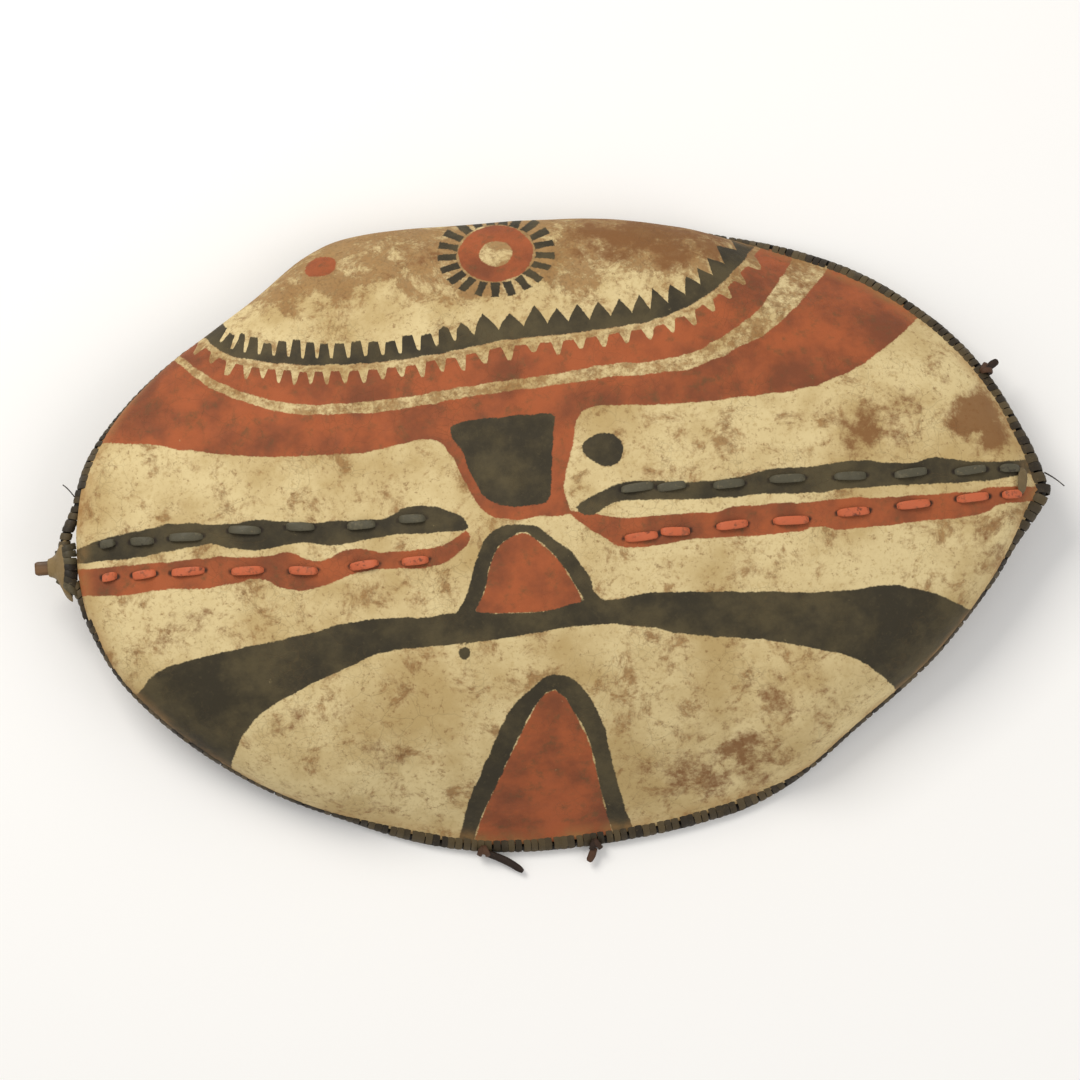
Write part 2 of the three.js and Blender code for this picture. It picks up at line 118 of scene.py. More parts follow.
def smooth_line(points: tuple, count: int, closed: bool = False) -> np.ndarray:
    """Evenly spaced points on the smooth curve through an outline.

    Args:
        points: the outline's corners.
        count: how many points to return.
        closed: whether the last corner joins the first.

    Returns:
        An array of count rows.
    """
    p = np.asarray(points, float)
    if closed:
        p = np.vstack([p[-1], p, p[0], p[1]])
    else:
        p = np.vstack([2 * p[0] - p[1], p, 2 * p[-1] - p[-2]])
    t = np.linspace(0.0, 1.0, 40, endpoint=False)[:, None]
    spans = []
    for a, b, c, d in zip(p[:-3], p[1:-2], p[2:-1], p[3:]):
        spans.append(
            0.5 * (2 * b + (c - a) * t + (2 * a - 5 * b + 4 * c - d) * t**2
                   + (3 * b - a - 3 * c + d) * t**3)
        )
    line = np.vstack(spans + [p[-2][None]])
    steps = np.concatenate([[0.0], np.cumsum(np.linalg.norm(np.diff(line, axis=0), axis=1))])
    at = np.linspace(0.0, steps[-1], count)
    return np.stack([np.interp(at, steps, line[:, k]) for k in range(line.shape[1])], axis=1)


def unit(v: np.ndarray) -> np.ndarray:
    """Vectors at length one."""
    return v / np.maximum(np.linalg.norm(v, axis=-1, keepdims=True), 1e-12)


def from_line(points: np.ndarray, line: np.ndarray) -> tuple:
    """Where points lie beside a line.

    Args:
        points: rows of two numbers.
        line: the line's points, in order.

    Returns:
        The distance along the line, and the distance from it, positive on its left.
    """
    best = np.full(len(points), 1e18)
    along = np.zeros(len(points))
    side = np.ones(len(points))
    walked = 0.0
    for a, b in zip(line[:-1], line[1:]):
        way = b - a
        length = float(np.hypot(*way))
        rel = points - a
        t = np.clip((rel @ way) / (length * length), 0.0, 1.0)
        off = rel - t[:, None] * way
        d2 = (off**2).sum(1)
        near = d2 < best
        best[near] = d2[near]
        along[near] = walked + t[near] * length
        side[near] = np.sign(way[0] * rel[near, 1] - way[1] * rel[near, 0])
        walked += length
    return along, np.sqrt(best) * np.where(side == 0, 1, side)


def in_shape(points: np.ndarray, outline: np.ndarray) -> np.ndarray:
    """Distance to a closed outline, positive inside it."""
    ring = np.vstack([outline, outline[:1]])
    _, off = from_line(points, ring)
    inside = np.zeros(len(points), bool)
    for (ax, ay), (bx, by) in zip(ring[:-1], ring[1:]):
        if ay == by:
            continue
        crosses = (ay > points[:, 1]) != (by > points[:, 1])
        where = ax + (points[:, 1] - ay) * (bx - ax) / (by - ay)
        inside ^= crosses & (points[:, 0] < where)
    return np.where(inside, np.abs(off), -np.abs(off))


def colour(red: int, green: int, blue: int) -> tuple:
    """A screen colour, 0 to 255, as the linear colour that a shader takes."""
    def linear(value: int) -> float:
        c = value / 255.0
        return c / 12.92 if c <= 0.04045 else ((c + 0.055) / 1.055) ** 2.4
    return (linear(red), linear(green), linear(blue), 1.0)


# ---- The shield's form --------------------------------------------------------------------


@dataclass
class ShieldForm:
    """The moulded form that every piece follows: the hide's outline, edge, crown and rim."""

    half_length: float = 481.0
    thickness: float = 5.0
    ridge_height: float = 150.0
    ridge_bow: float = 55.0
    ridge_share: float = 0.93
    crown: float = 0.64
    crown_fall: float = 0.03
    wall: float = 0.62
    least_wall: float = 12.0
    rim_radius: float = 6.0
    tip_rim_radius: float = 8.5
    tip_reach: float = 0.07
    rim_gap: float = 1.0
    rim_rise: float = 72.0
    rim_flat: float = 170.0
    rim_curve: float = 1.8
    butt_gap: float = 12.0
    butt_reach: float = 0.045
    upper_edge: tuple = (
        (477, -6), (462, 51), (435, 112), (393, 170), (324, 229), (238, 270), (141, 299),
        (40, 313), (-80, 315), (-180, 313), (-235, 297), (-296, 251), (-378, 195), (-435, 140),
        (-467, 88), (-479, 36), (-481, 6),
    )
    lower_edge: tuple = (
        (477, -6), (452, -47), (420, -95), (360, -161), (279, -223), (210, -271), (119, -299),
        (0, -313), (-110, -310), (-211, -283), (-302, -245), (-381, -191), (-442, -128),
        (-471, -69), (-480, -22), (-481, 6),
    )
    ridge_line: tuple = ((-526, -4), (-360, -7), (-200, -14), (130, -3), (477, 3))
    upper_turn: tuple = (
        (0, 45), (0.1, 45), (0.28, 50), (0.38, 95), (0.5, 104), (0.68, 102), (0.8, 98),
        (0.86, 95), (0.93, 62), (1, 50),
    )
    lower_turn: tuple = (
        (0, 45), (0.06, 75), (0.12, 86), (0.28, 84), (0.36, 45), (0.5, 42), (0.62, 50),
        (0.7, 86), (0.9, 86), (0.96, 70), (1, 50),
    )

    def ridge(self, x: np.ndarray) -> np.ndarray:
        """Height of the hide's ridge line."""
        return self.ridge_height - self.ridge_bow * (x / self.half_length) ** 2

    def ridge_y(self, x: np.ndarray) -> np.ndarray:
        """How far across the shield the ridge and the spine lie."""
        return look_up(self.ridge_line, np.clip(x, BUTT_END, self.half_length - 4))

    def stations(self, side: Side, count: int) -> dict:
        """Places round one side of the hide, from the pointed tip to the butt.

        Args:
            side: which side.
            count: how many places.

        Returns:
            The hide's edge, the way out, the rim's centre and radius and the hide's turn.
        """
        outline = self.upper_edge if side is Side.UPPER else self.lower_edge
        line = smooth_line(outline, count)
        share = np.linspace(0.0, 1.0, count)
        along = unit(np.gradient(line, axis=0))
        out = np.stack([along[:, 1], -along[:, 0], np.zeros(count)], axis=1) * side.value
        out[0], out[-1] = (1, 0, 0), (-1, 0, 0)
        table = self.upper_turn if side is Side.UPPER else self.lower_turn
        turn = np.radians(look_up(table, share))
        radius = mix(self.tip_rim_radius, self.rim_radius, ease(share / self.tip_reach))
        reach = radius + self.rim_gap
        half = self.thickness / 2
        beyond = np.abs(line[:, 0]) - self.rim_flat
        rise = np.clip(beyond / (self.half_length - self.rim_flat), 0, 1)
        level = self.rim_radius + self.rim_rise * rise**self.rim_curve
        spare = self.butt_gap * ease(1 - (1 - share) / self.butt_reach)
        base = np.stack([line[:, 0], line[:, 1], level], axis=1)
        edge = base.copy()
        edge[:, 2] += np.sin(turn) * reach + np.cos(turn) * half
        offset = np.cos(turn) * reach - np.sin(turn) * half + spare
        return {"share": share, "edge": edge, "out": out, "turn": turn, "radius": radius,
                "centre": base + out * offset[:, None]}

    def ribs(self, side: Side, count: int, rows: int) -> np.ndarray:
        """The hide's outer face on one side: stations by rows of points, ridge to edge."""
        here = self.stations(side, count)
        both = [self.stations(s, count)["edge"][:, 0] for s in Side]
        ridge_x = self.ridge_share * (both[0] + both[1]) / 2
        top = np.stack([ridge_x, self.ridge_y(ridge_x), self.ridge(ridge_x)], axis=1)
        edge, out, turn = here["edge"], here["out"], here["turn"]
        plan = edge - top
        plan[:, 2] = 0
        drop = top[:, 2] - edge[:, 2]
        crown = top + plan * self.crown
        crown[:, 2] -= self.crown_fall * self.crown * np.linalg.norm(plan, axis=1)
        wall = np.maximum(self.least_wall, self.wall * drop)
        shoulder = edge - out * (np.cos(turn) * wall)[:, None]
        shoulder[:, 2] += np.sin(turn) * wall
        t = np.linspace(0.0, 1.0, 161)[None, :, None]
        a, b, c, d = (p[:, None, :] for p in (top, crown, shoulder, edge))
        fine = a * (1 - t) ** 3 + 3 * b * t * (1 - t) ** 2 + 3 * c * t**2 * (1 - t) + d * t**3
        step = np.linalg.norm(np.diff(fine, axis=1), axis=2)
        walked = np.concatenate([np.zeros((count, 1)), np.cumsum(step, axis=1)], axis=1)
        out_points = np.empty((count, rows, 3))
        for i in range(count):
            at = np.linspace(0.0, walked[i, -1], rows)
            for k in range(3):
                out_points[i, :, k] = np.interp(at, walked[i], fine[i, :, k])
        return out_points

    def skins(self, count: int, rows: int) -> tuple:
        """Both sides of the outer face, with normals that agree where the sides meet."""
        faces = {s: self.ribs(s, count, rows) for s in Side}
        normals = {}
        for s, p in faces.items():
            across = np.gradient(p, axis=1)
            round_it = np.gradient(p, axis=0)
            n = unit(np.cross(across, round_it)) * s.value
            n[:, 0] = n[:, 1]
            normals[s] = n
        shared = unit(normals[Side.UPPER][:, 0] + normals[Side.LOWER][:, 0])
        for s in Side:
            normals[s][:, 0] = shared
        for end in (0, -1):
            both = unit(normals[Side.UPPER][end] + normals[Side.LOWER][end])
            for s in Side:
                normals[s][end] = both
        return faces, normals


@dataclass
class Workshop:
    """Where the part lies in its frame, and the ways of writing a mesh into it."""

    form: ShieldForm
    shift: np.ndarray = field(default_factory=lambda: np.zeros(3))

    def locate(self, middle: float) -> None:
        """Finds the shift from the shield's own axis to the part's frame.

        Args:
            middle: the middle of the spine's box across the shield, on the shield's own axis.
        """
        low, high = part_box("spine")
        self.shift = np.array([low.x / MM - BUTT_END, (low.y + high.y) / 2 / MM - middle, 0.0])
        LOG.info("shift to the part's frame: %s mm", np.round(self.shift, 2))

    def metres(self, points: np.ndarray) -> np.ndarray:
        """Points on the shield's axis, in millimetres, as points of the part's frame."""
        return (np.asarray(points, float).reshape(-1, 3) + self.shift) * MM

    def deselect(self) -> None:
        """Leaves nothing selected."""
        bpy.ops.object.select_all(action="DESELECT")

    def grid(self, name: str, points: np.ndarray, flip: bool = False) -> bpy.types.Object:
        """A primitive grid whose points are moved onto a surface.

        Args:
            name: the object's name.
            points: columns by rows of places, in millimetres.
            flip: whether the faces are turned over.

        Returns:
            The grid's object.
        """
        nx, ny = points.shape[0] - 1, points.shape[1] - 1
        self.deselect()
        bpy.ops.mesh.primitive_grid_add(x_subdivisions=nx, y_subdivisions=ny, size=1)
        made = bpy.context.object
        made.name = name
        co = np.empty(len(made.data.vertices) * 3)
        made.data.vertices.foreach_get("co", co)
        co = co.reshape(-1, 3)
        i = np.rint((co[:, 0] + 0.5) * nx).astype(int)
        j = np.rint((co[:, 1] + 0.5) * ny).astype(int)
        made.data.vertices.foreach_set("co", self.metres(points[i, j]).ravel())
        if flip:
            made.data.flip_normals()
        made.data.update()
        return made

    def join(self, name: str, made: list, merge: float = 0.00002) -> bpy.types.Object:
        """Joins objects into one piece and merges the points that meet."""
        self.deselect()
        for o in made:
            o.select_set(True)
        bpy.context.view_layer.objects.active = made[0]
        if len(made) > 1:
            bpy.ops.object.join()
        bpy.ops.object.mode_set(mode="EDIT")
        bpy.ops.mesh.select_all(action="SELECT")
        bpy.ops.mesh.remove_doubles(threshold=merge)
        bpy.ops.object.mode_set(mode="OBJECT")
        piece = made[0]
        piece.name = name
        piece.data.name = name
        return piece

    def mesh(self, name: str, points: np.ndarray, faces: list) -> bpy.types.Object:
        """A piece from points in millimetres and faces."""
        data = bpy.data.meshes.new(name)
        data.from_pydata(self.metres(points).tolist(), [], faces)
        data.update()
        made = bpy.data.objects.new(name, data)
        bpy.context.scene.collection.objects.link(made)
        return made

    def finish(self, piece: bpy.types.Object, material: bpy.types.Material, slot: str,
               replaced: tuple = (), smooth: float = 45.0) -> None:
        """Dresses a piece, rounds its shading and hangs it on the part."""
        if material is not None:
            piece.data.materials.clear()
            piece.data.materials.append(material)
        self.deselect()
        piece.select_set(True)
        bpy.context.view_layer.objects.active = piece
        bpy.ops.object.shade_smooth_by_angle(angle=math.radians(smooth))
        piece.select_set(False)
        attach(piece, "root")
        if replaced:
            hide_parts(*replaced)
        LOG.info("%s: %d faces", piece.name, len(piece.data.polygons))


def tone(piece: bpy.types.Object, name: str, values: np.ndarray) -> None:
    """Writes numbers, or rows of three, onto a piece's points."""
    kind = "FLOAT" if values.ndim == 1 else "FLOAT_VECTOR"
    layer = piece.data.attributes.new(name, kind, "POINT")
    part = "value" if kind == "FLOAT" else "vector"
    layer.data.foreach_set(part, values.astype(np.float32).ravel())


def places(piece: bpy.types.Object, shop: Workshop) -> np.ndarray:
    """A piece's points on the shield's own axis, in millimetres."""
    co = np.empty(len(piece.data.vertices) * 3)
    piece.data.vertices.foreach_get("co", co)
    return co.reshape(-1, 3) / MM - shop.shift


# ---- Shader building ----------------------------------------------------------------------


class Graph:
    """A material's node tree, written as sums."""

    def __init__(self, name: str) -> None:
        """Starts a material with one shader."""
        self.material = bpy.data.materials.new(name)
        self.material.use_nodes = True
        self.tree = self.material.node_tree
        self.tree.nodes.clear()
        self.shader = self.tree.nodes.new("ShaderNodeBsdfPrincipled")
        output = self.tree.nodes.new("ShaderNodeOutputMaterial")
        self.tree.links.new(self.shader.outputs[0], output.inputs[0])
        self.place = self.tree.nodes.new("ShaderNodeTexCoord").outputs["Object"]

    def feed(self, socket: bpy.types.NodeSocket, value: object) -> None:
        """Links a socket or sets its value."""
        if isinstance(value, bpy.types.NodeSocket):
            self.tree.links.new(value, socket)
        else:
            socket.default_value = value

    def attribute(self, name: str, part: str = "Fac") -> bpy.types.NodeSocket:
        """A number or a vector kept on the piece's points."""
        node = self.tree.nodes.new("ShaderNodeAttribute")
        node.attribute_name = name
        return node.outputs[part]

    def split(self, vector: bpy.types.NodeSocket) -> list:
        """A vector's three numbers."""
        node = self.tree.nodes.new("ShaderNodeSeparateXYZ")
        self.feed(node.inputs[0], vector)
        return list(node.outputs)

    def sum(self, kind: str, a: object, b: object = 0.0, c: object = 0.0) -> bpy.types.NodeSocket:
        """One step of arithmetic."""
        node = self.tree.nodes.new("ShaderNodeMath")
        node.operation = kind
        for socket, value in zip(node.inputs, (a, b, c)):
            self.feed(socket, value)
        return node.outputs[0]

    def vector(self, kind: str, a: object, b: object) -> bpy.types.NodeSocket:
        """One step of arithmetic on vectors."""
        node = self.tree.nodes.new("ShaderNodeVectorMath")
        node.operation = kind
        self.feed(node.inputs[0], a)
        self.feed(node.inputs[1], b)
        return node.outputs[0]

    def scaled(self, vector: bpy.types.NodeSocket, x: float, y: float,
               z: float) -> bpy.types.NodeSocket:
        """A place stretched along its axes."""
        return self.vector("MULTIPLY", vector, (x, y, z))

    def step(self, value: object, low: float, high: float, start: float = 0.0,
             end: float = 1.0) -> bpy.types.NodeSocket:
        """An eased step as value goes from low to high."""
        node = self.tree.nodes.new("ShaderNodeMapRange")
        node.interpolation_type = "SMOOTHSTEP"
        for socket, v in zip(node.inputs, (value, low, high, start, end)):
            self.feed(socket, v)
        return node.outputs[0]

    def cloud(self, scale: float, detail: float = 3.0, rough: float = 0.5, warp: float = 0.0,
              where: object = None) -> bpy.types.NodeSocket:
        """Soft noise from 0 to 1."""
        node = self.tree.nodes.new("ShaderNodeTexNoise")
        self.feed(node.inputs["Vector"], self.place if where is None else where)
        node.inputs["Scale"].default_value = scale
        node.inputs["Detail"].default_value = detail
        node.inputs["Roughness"].default_value = rough
        node.inputs["Distortion"].default_value = warp
        return node.outputs["Fac"]

    def cells(self, scale: float, feature: str = "DISTANCE_TO_EDGE",
              where: object = None) -> bpy.types.NodeSocket:
        """Distance to the edges, or to the middles, of scattered cells."""
        node = self.tree.nodes.new("ShaderNodeTexVoronoi")
        node.feature = feature
        self.feed(node.inputs["Vector"], self.place if where is None else where)
        node.inputs["Scale"].default_value = scale
        return node.outputs["Distance"]

    def chance(self, value: bpy.types.NodeSocket) -> bpy.types.NodeSocket:
        """A steady random number for each value."""
        node = self.tree.nodes.new("ShaderNodeTexWhiteNoise")
        node.noise_dimensions = "1D"
        self.feed(node.inputs["W"], value)
        return node.outputs["Value"]

    def blend(self, share: object, a: object, b: object, kind: str = "MIX") -> bpy.types.NodeSocket:
        """One colour laid over another."""
        node = self.tree.nodes.new("ShaderNodeMix")
        node.data_type = "RGBA"
        node.blend_type = kind
        self.feed(node.inputs[0], share)
        self.feed(node.inputs[6], a)
        self.feed(node.inputs[7], b)
        return node.outputs[2]

    def relief(self, height: bpy.types.NodeSocket, depth: float, strength: float = 1.0) -> None:
        """Gives the shader small relief, height 0 to 1 standing for depth in metres."""
        node = self.tree.nodes.new("ShaderNodeBump")
        node.inputs["Strength"].default_value = strength
        node.inputs["Distance"].default_value = depth
        self.feed(node.inputs["Height"], height)
        self.tree.links.new(node.outputs[0], self.shader.inputs["Normal"])

    def done(self, tint: object, rough: object, gloss: float = 0.35) -> bpy.types.Material:
        """Sets the shader's colour, roughness and gloss."""
        self.feed(self.shader.inputs["Base Color"], tint)
        self.feed(self.shader.inputs["Roughness"], rough)
        self.shader.inputs["Specular IOR Level"].default_value = gloss
        return self.material


# ---- Finishes -----------------------------------------------------------------------------


@dataclass(frozen=True)
class PaintedHide:
    """Old earth paints on rawhide: cream ground, red ochre and soot black, worn and cracked."""

    cream: tuple = colour(218, 198, 148)
    dull_cream: tuple = colour(186, 160, 108)
    hide: tuple = colour(166, 124, 72)
    brown: tuple = colour(126, 84, 46)
    red: tuple = colour(166, 88, 50)
    dull_red: tuple = colour(122, 68, 42)
    black: tuple = colour(54, 48, 34)
    dull_black: tuple = colour(84, 74, 50)
    grime: tuple = colour(96, 76, 46)

    def teeth(self, g: Graph) -> tuple:
        """The toothed band and the toothed cream stripe under it.

        Args:
            g: the material's graph.

        Returns:
            Two distances in millimetres, positive inside the band and inside the stripe.
        """
        count_up, off, count_down = g.split(g.attribute("band", "Vector"))
        style = g.step(count_up, 14.0, 18.0)
        tall = g.sum("MULTIPLY_ADD", g.chance(g.sum("FLOOR", count_up)), 0.35, 0.8)
        wave = g.sum("SUBTRACT", 1.0, g.sum("ABSOLUTE", g.sum(
            "MULTIPLY_ADD", g.sum("FRACT", count_up), 2.0, -1.0)))
        finger = g.step(wave, 0.12, 0.5)
        spike = g.sum("POWER", wave, 0.85)
        shape = g.sum("MULTIPLY_ADD", style, g.sum("SUBTRACT", spike, finger), finger)
        base = g.sum("MULTIPLY_ADD", style, 4.5, 7.0)
        height = g.sum("MULTIPLY", g.sum("MULTIPLY_ADD", style, 3.0, 15.0), tall)
        limit = g.sum("MULTIPLY_ADD", shape, height, base)
        band = g.sum("MINIMUM", off, g.sum("SUBTRACT", limit, off))
        below = g.sum("MULTIPLY", off, -1.0)
        long = g.sum("MULTIPLY_ADD", g.chance(g.sum("FLOOR", count_down)), 5.0, 9.5)
        wave = g.sum("SUBTRACT", 1.0, g.sum("ABSOLUTE", g.sum(
            "MULTIPLY_ADD", g.sum("FRACT", count_down), 2.0, -1.0)))
        drip = g.step(wave, 0.38, 0.92)
        limit = g.sum("MULTIPLY_ADD", drip, long, 6.5)
        stripe = g.sum("MINIMUM", g.sum("ADD", below, 2.0), g.sum("SUBTRACT", limit, below))
        return band, stripe

    def sun(self, g: Graph) -> tuple:
        """The sun: its red ring, its tan middle and its dark rays, as distances."""
        x, y, _ = g.split(g.attribute("sun", "Vector"))
        far = g.sum("SQRT", g.sum("ADD", g.sum("MULTIPLY", x, x), g.sum("MULTIPLY", y, y)))
        ring = g.sum("MINIMUM", g.sum("SUBTRACT", far, 17.0), g.sum("SUBTRACT", 37.5, far))
        share = g.sum("MULTIPLY", g.sum("ARCTAN2", y, x), 21.0 / (2 * math.pi))
        away = g.sum("ABSOLUTE", g.sum("SUBTRACT", g.sum("FRACT", share), 0.5))
        wide = g.sum("SUBTRACT", 4.4, g.sum("MULTIPLY", away, g.sum("MULTIPLY", far, 0.3)))
        rays = g.sum("MINIMUM", wide, g.sum(
            "MINIMUM", g.sum("SUBTRACT", far, 39.5), g.sum("SUBTRACT", 59.0, far)))
        return ring, rays

    def material(self) -> bpy.types.Material:
        """Builds the material of the hide's painted face."""
        g = Graph("painted_hide")
        drift = g.sum("MULTIPLY_ADD", g.cloud(55.0, 3.0), 5.0, -2.5)
        fray = g.sum("MULTIPLY_ADD", g.cloud(420.0, 3.0, 0.7), 3.4, -1.7)
        wobble = g.sum("ADD", drift, fray)
        band, stripe = self.teeth(g)
        ring, rays = self.sun(g)

        def inside(distance: bpy.types.NodeSocket, soft: float = 0.7) -> bpy.types.NodeSocket:
            """How far a point is inside a painted shape, with a frayed edge."""
            return g.step(g.sum("ADD", distance, wobble), -soft, soft)

        ground = g.blend(g.step(g.cloud(11.0, 5.0, 0.6), 0.35, 0.68), self.cream, self.dull_cream)
        specks = g.step(g.cloud(240.0, 3.0, 0.6), 0.52, 0.7, 0.0, 0.55)
        ground = g.blend(specks, ground, self.dull_cream)
        leather = g.blend(g.cloud(34.0, 5.0, 0.6), self.hide, self.brown)
        leather = g.blend(g.step(g.cloud(300.0, 2.0), 0.4, 0.7, 0.0, 0.4), leather, self.grime)
        worn = g.sum("ADD", g.cloud(30.0, 10.0, 0.76, 0.3), g.sum(
            "MULTIPLY", g.attribute("bare"), 0.36))
        ground = g.blend(g.step(worn, 0.5, 0.64, 0.0, 0.8), ground, leather)
        fleck = g.step(g.cloud(150.0, 7.0, 0.8), 0.54, 0.66, 0.0, 0.7)
        ground = g.blend(fleck, ground, leather)
        stain = g.sum("ADD", g.attribute("stain"), g.sum(
            "MULTIPLY_ADD", g.cloud(48.0, 8.0, 0.7), 1.5, -0.75))
        ground = g.blend(g.step(stain, 0.35, 0.7, 0.0, 0.9), ground, self.brown)

        red = g.blend(g.step(g.cloud(20.0, 4.0, 0.6), 0.35, 0.7), self.red, self.dull_red)
        red = g.blend(g.step(g.cloud(70.0, 7.0, 0.7), 0.5, 0.72, 0.0, 0.6), red, self.grime)
        soot = g.blend(g.step(g.cloud(16.0, 5.0, 0.65), 0.38, 0.68), self.black, self.dull_black)
        specks = g.step(g.cloud(190.0, 4.0, 0.7), 0.55, 0.75, 0.0, 0.5)
        soot = g.blend(specks, soot, self.dull_black)

        in_red = g.sum("MAXIMUM", inside(g.attribute("red")), inside(ring))
        in_stripe = inside(stripe)
        aged = g.step(g.cloud(85.0, 7.0, 0.75), 0.42, 0.6, 0.0, 0.75)
        aged = g.sum("MULTIPLY", aged, g.step(g.attribute("red_zone"), -2.0, 4.0))
        ground = g.blend(aged, ground, leather)
        in_red = g.sum("MULTIPLY", in_red, g.sum("SUBTRACT", 1.0, g.sum(
            "MULTIPLY", in_stripe, g.step(g.attribute("red_zone"), -2.0, 2.0))))
        in_black = g.sum("MAXIMUM", inside(g.attribute("black")), inside(rays))
        in_black = g.sum("MAXIMUM", in_black, inside(band))
        chips = g.step(g.cloud(95.0, 9.0, 0.78), 0.66, 0.72, 0.0, 0.7)
        in_red = g.sum("MULTIPLY", in_red, g.sum("SUBTRACT", 1.0, chips))
        held = g.sum("SUBTRACT", 1.0, g.sum("MULTIPLY", chips, 0.6))
        in_black = g.sum("MULTIPLY", in_black, held)
        tint = g.blend(in_red, ground, red)
        tint = g.blend(in_black, tint, soot)

        bent = g.vector("ADD", g.place, g.scaled(self.drifting(g), 0.02, 0.02, 0.02))
        wide_cells = g.cells(38.0, where=bent)
        fine_cells = g.cells(120.0, where=bent)
        patch = g.step(g.cloud(9.0, 3.0), 0.48, 0.62)
        crack = g.sum("MULTIPLY", g.step(wide_cells, 0.02, 0.0, 0.0, 0.5), patch)
        craze = g.sum("MULTIPLY", g.step(fine_cells, 0.05, 0.0, 0.0, 0.5), g.step(
            g.cloud(17.0, 2.0), 0.5, 0.64))
        lines = g.sum("MAXIMUM", crack, craze)
        tint = g.blend(g.sum("MULTIPLY", lines, 0.4), tint, self.grime)
        dirt = g.step(g.attribute("edge"), 26.0, 0.0, 0.0, 0.75)
        dirt = g.sum("MULTIPLY", dirt, g.step(g.cloud(40.0, 5.0, 0.6), 0.3, 0.65))
        tint = g.blend(dirt, tint, self.hide)
        # Painted shade: a near-black spot at each lacing hole stands for the shadow inside a hole
        # that the mesh does not cut.
        tint = g.blend(g.step(g.attribute("hole"), 4.6, 1.6, 0.0, 0.92), tint, colour(34, 26, 18))

        grain = g.sum("MULTIPLY_ADD", g.cloud(380.0, 5.0, 0.65), 0.35, g.sum(
            "MULTIPLY", g.cloud(60.0, 5.0, 0.6), 0.7))
        height = g.sum("SUBTRACT", grain, g.sum("MULTIPLY", lines, 0.35))
        height = g.sum("MULTIPLY_ADD", g.step(worn, 0.55, 0.66), -0.18, height)
        g.relief(height, 0.0011, 0.9)
        rough = g.sum("MULTIPLY_ADD", g.cloud(45.0, 4.0), 0.2, 0.66)
        return g.done(tint, rough, 0.3)

    def drifting(self, g: Graph) -> bpy.types.NodeSocket:
        """A slow wandering vector, to bend the cracks."""
        node = g.tree.nodes.new("ShaderNodeTexNoise")
        g.feed(node.inputs["Vector"], g.place)
        node.inputs["Scale"].default_value = 30.0
        node.inputs["Detail"].default_value = 4.0
        return node.outputs["Color"]


@dataclass(frozen=True)
class RawHide:
    """The hide's unpainted inner face: yellow-brown, fibrous and smoky."""

    light: tuple = colour(170, 134, 84)
    dark: tuple = colour(112, 78, 44)
    stain: tuple = colour(70, 50, 30)

    def material(self) -> bpy.types.Material:
        """Builds the material."""
        g = Graph("raw_hide")
        fibre = g.cloud(60.0, 8.0, 0.7, 0.4, g.scaled(g.place, 1.0, 0.45, 1.0))
        tint = g.blend(g.step(fibre, 0.3, 0.7), self.light, self.dark)
        tint = g.blend(g.step(g.cloud(9.0, 5.0, 0.6), 0.5, 0.72, 0.0, 0.7), tint, self.stain)
        veins = g.step(g.cells(26.0, where=g.vector("ADD", g.place, g.scaled(
            PaintedHide().drifting(g), 0.03, 0.03, 0.03))), 0.04, 0.0, 0.0, 0.35)
        tint = g.blend(veins, tint, self.stain)
        height = g.sum("MULTIPLY_ADD", fibre, 0.6, g.sum("MULTIPLY", g.cloud(300.0, 4.0), 0.4))
        g.relief(height, 0.0014, 0.9)
        return g.done(tint, g.step(g.cloud(30.0, 4.0), 0.2, 0.8, 0.6, 0.85), 0.3)


@dataclass(frozen=True)
class DriedThong:
    """Dried hide thong, dark and dusty, each turn a little different."""

    name: str
    light: tuple
    dark: tuple
    dust: tuple = colour(150, 132, 96)
    paint: tuple = ()

    def material(self) -> bpy.types.Material:
        """Builds the material. It reads the piece's own tone for each turn."""
        g = Graph(self.name)
        shade = g.sum("MULTIPLY_ADD", g.attribute("tone"), 0.75, g.sum(
            "MULTIPLY", g.cloud(160.0, 5.0, 0.65), 0.35))
        tint = g.blend(g.step(shade, 0.15, 0.9), self.dark, self.light)
        if self.paint:
            cover = g.step(g.cloud(170.0, 5.0, 0.65), 0.66, 0.52)
            tint = g.blend(cover, tint, self.paint)
        tint = g.blend(g.step(g.cloud(260.0, 6.0, 0.75), 0.56, 0.74, 0.0, 0.5), tint, self.dust)
        streak = g.cloud(420.0, 3.0, 0.6, 0.0, g.scaled(g.place, 1.0, 1.0, 0.4))
        g.relief(g.sum("MULTIPLY_ADD", streak, 0.6, g.sum(
            "MULTIPLY", g.cloud(120.0, 4.0), 0.5)), 0.0008, 0.85)
        return g.done(tint, g.step(g.cloud(90.0, 3.0), 0.2, 0.8, 0.5, 0.8), 0.35)


@dataclass(frozen=True)
class SpineWood:
    """A hand-carved stave, darkened by handling, its grain running along it."""

    light: tuple = colour(148, 108, 66)
    dark: tuple = colour(82, 56, 34)
    grime: tuple = colour(48, 36, 24)

    def material(self) -> bpy.types.Material:
        """Builds the material."""
        g = Graph("spine_wood")
        grain = g.cloud(90.0, 6.0, 0.6, 0.6, g.scaled(g.place, 0.06, 1.0, 1.0))
        fine = g.cloud(420.0, 3.0, 0.6, 0.2, g.scaled(g.place, 0.05, 1.0, 1.0))
        tint = g.blend(g.step(grain, 0.3, 0.7), self.light, self.dark)
        tint = g.blend(g.step(fine, 0.5, 0.75, 0.0, 0.5), tint, self.dark)
        tint = g.blend(g.step(g.cloud(22.0, 5.0, 0.6), 0.45, 0.7, 0.0, 0.7), tint, self.grime)
        tint = g.blend(g.attribute("grime"), tint, self.grime)
        g.relief(g.sum("MULTIPLY_ADD", grain, 0.6, g.sum("MULTIPLY", fine, 0.4)), 0.0009, 0.8)
        return g.done(tint, g.step(g.cloud(50.0, 3.0), 0.2, 0.8, 0.42, 0.7), 0.4)


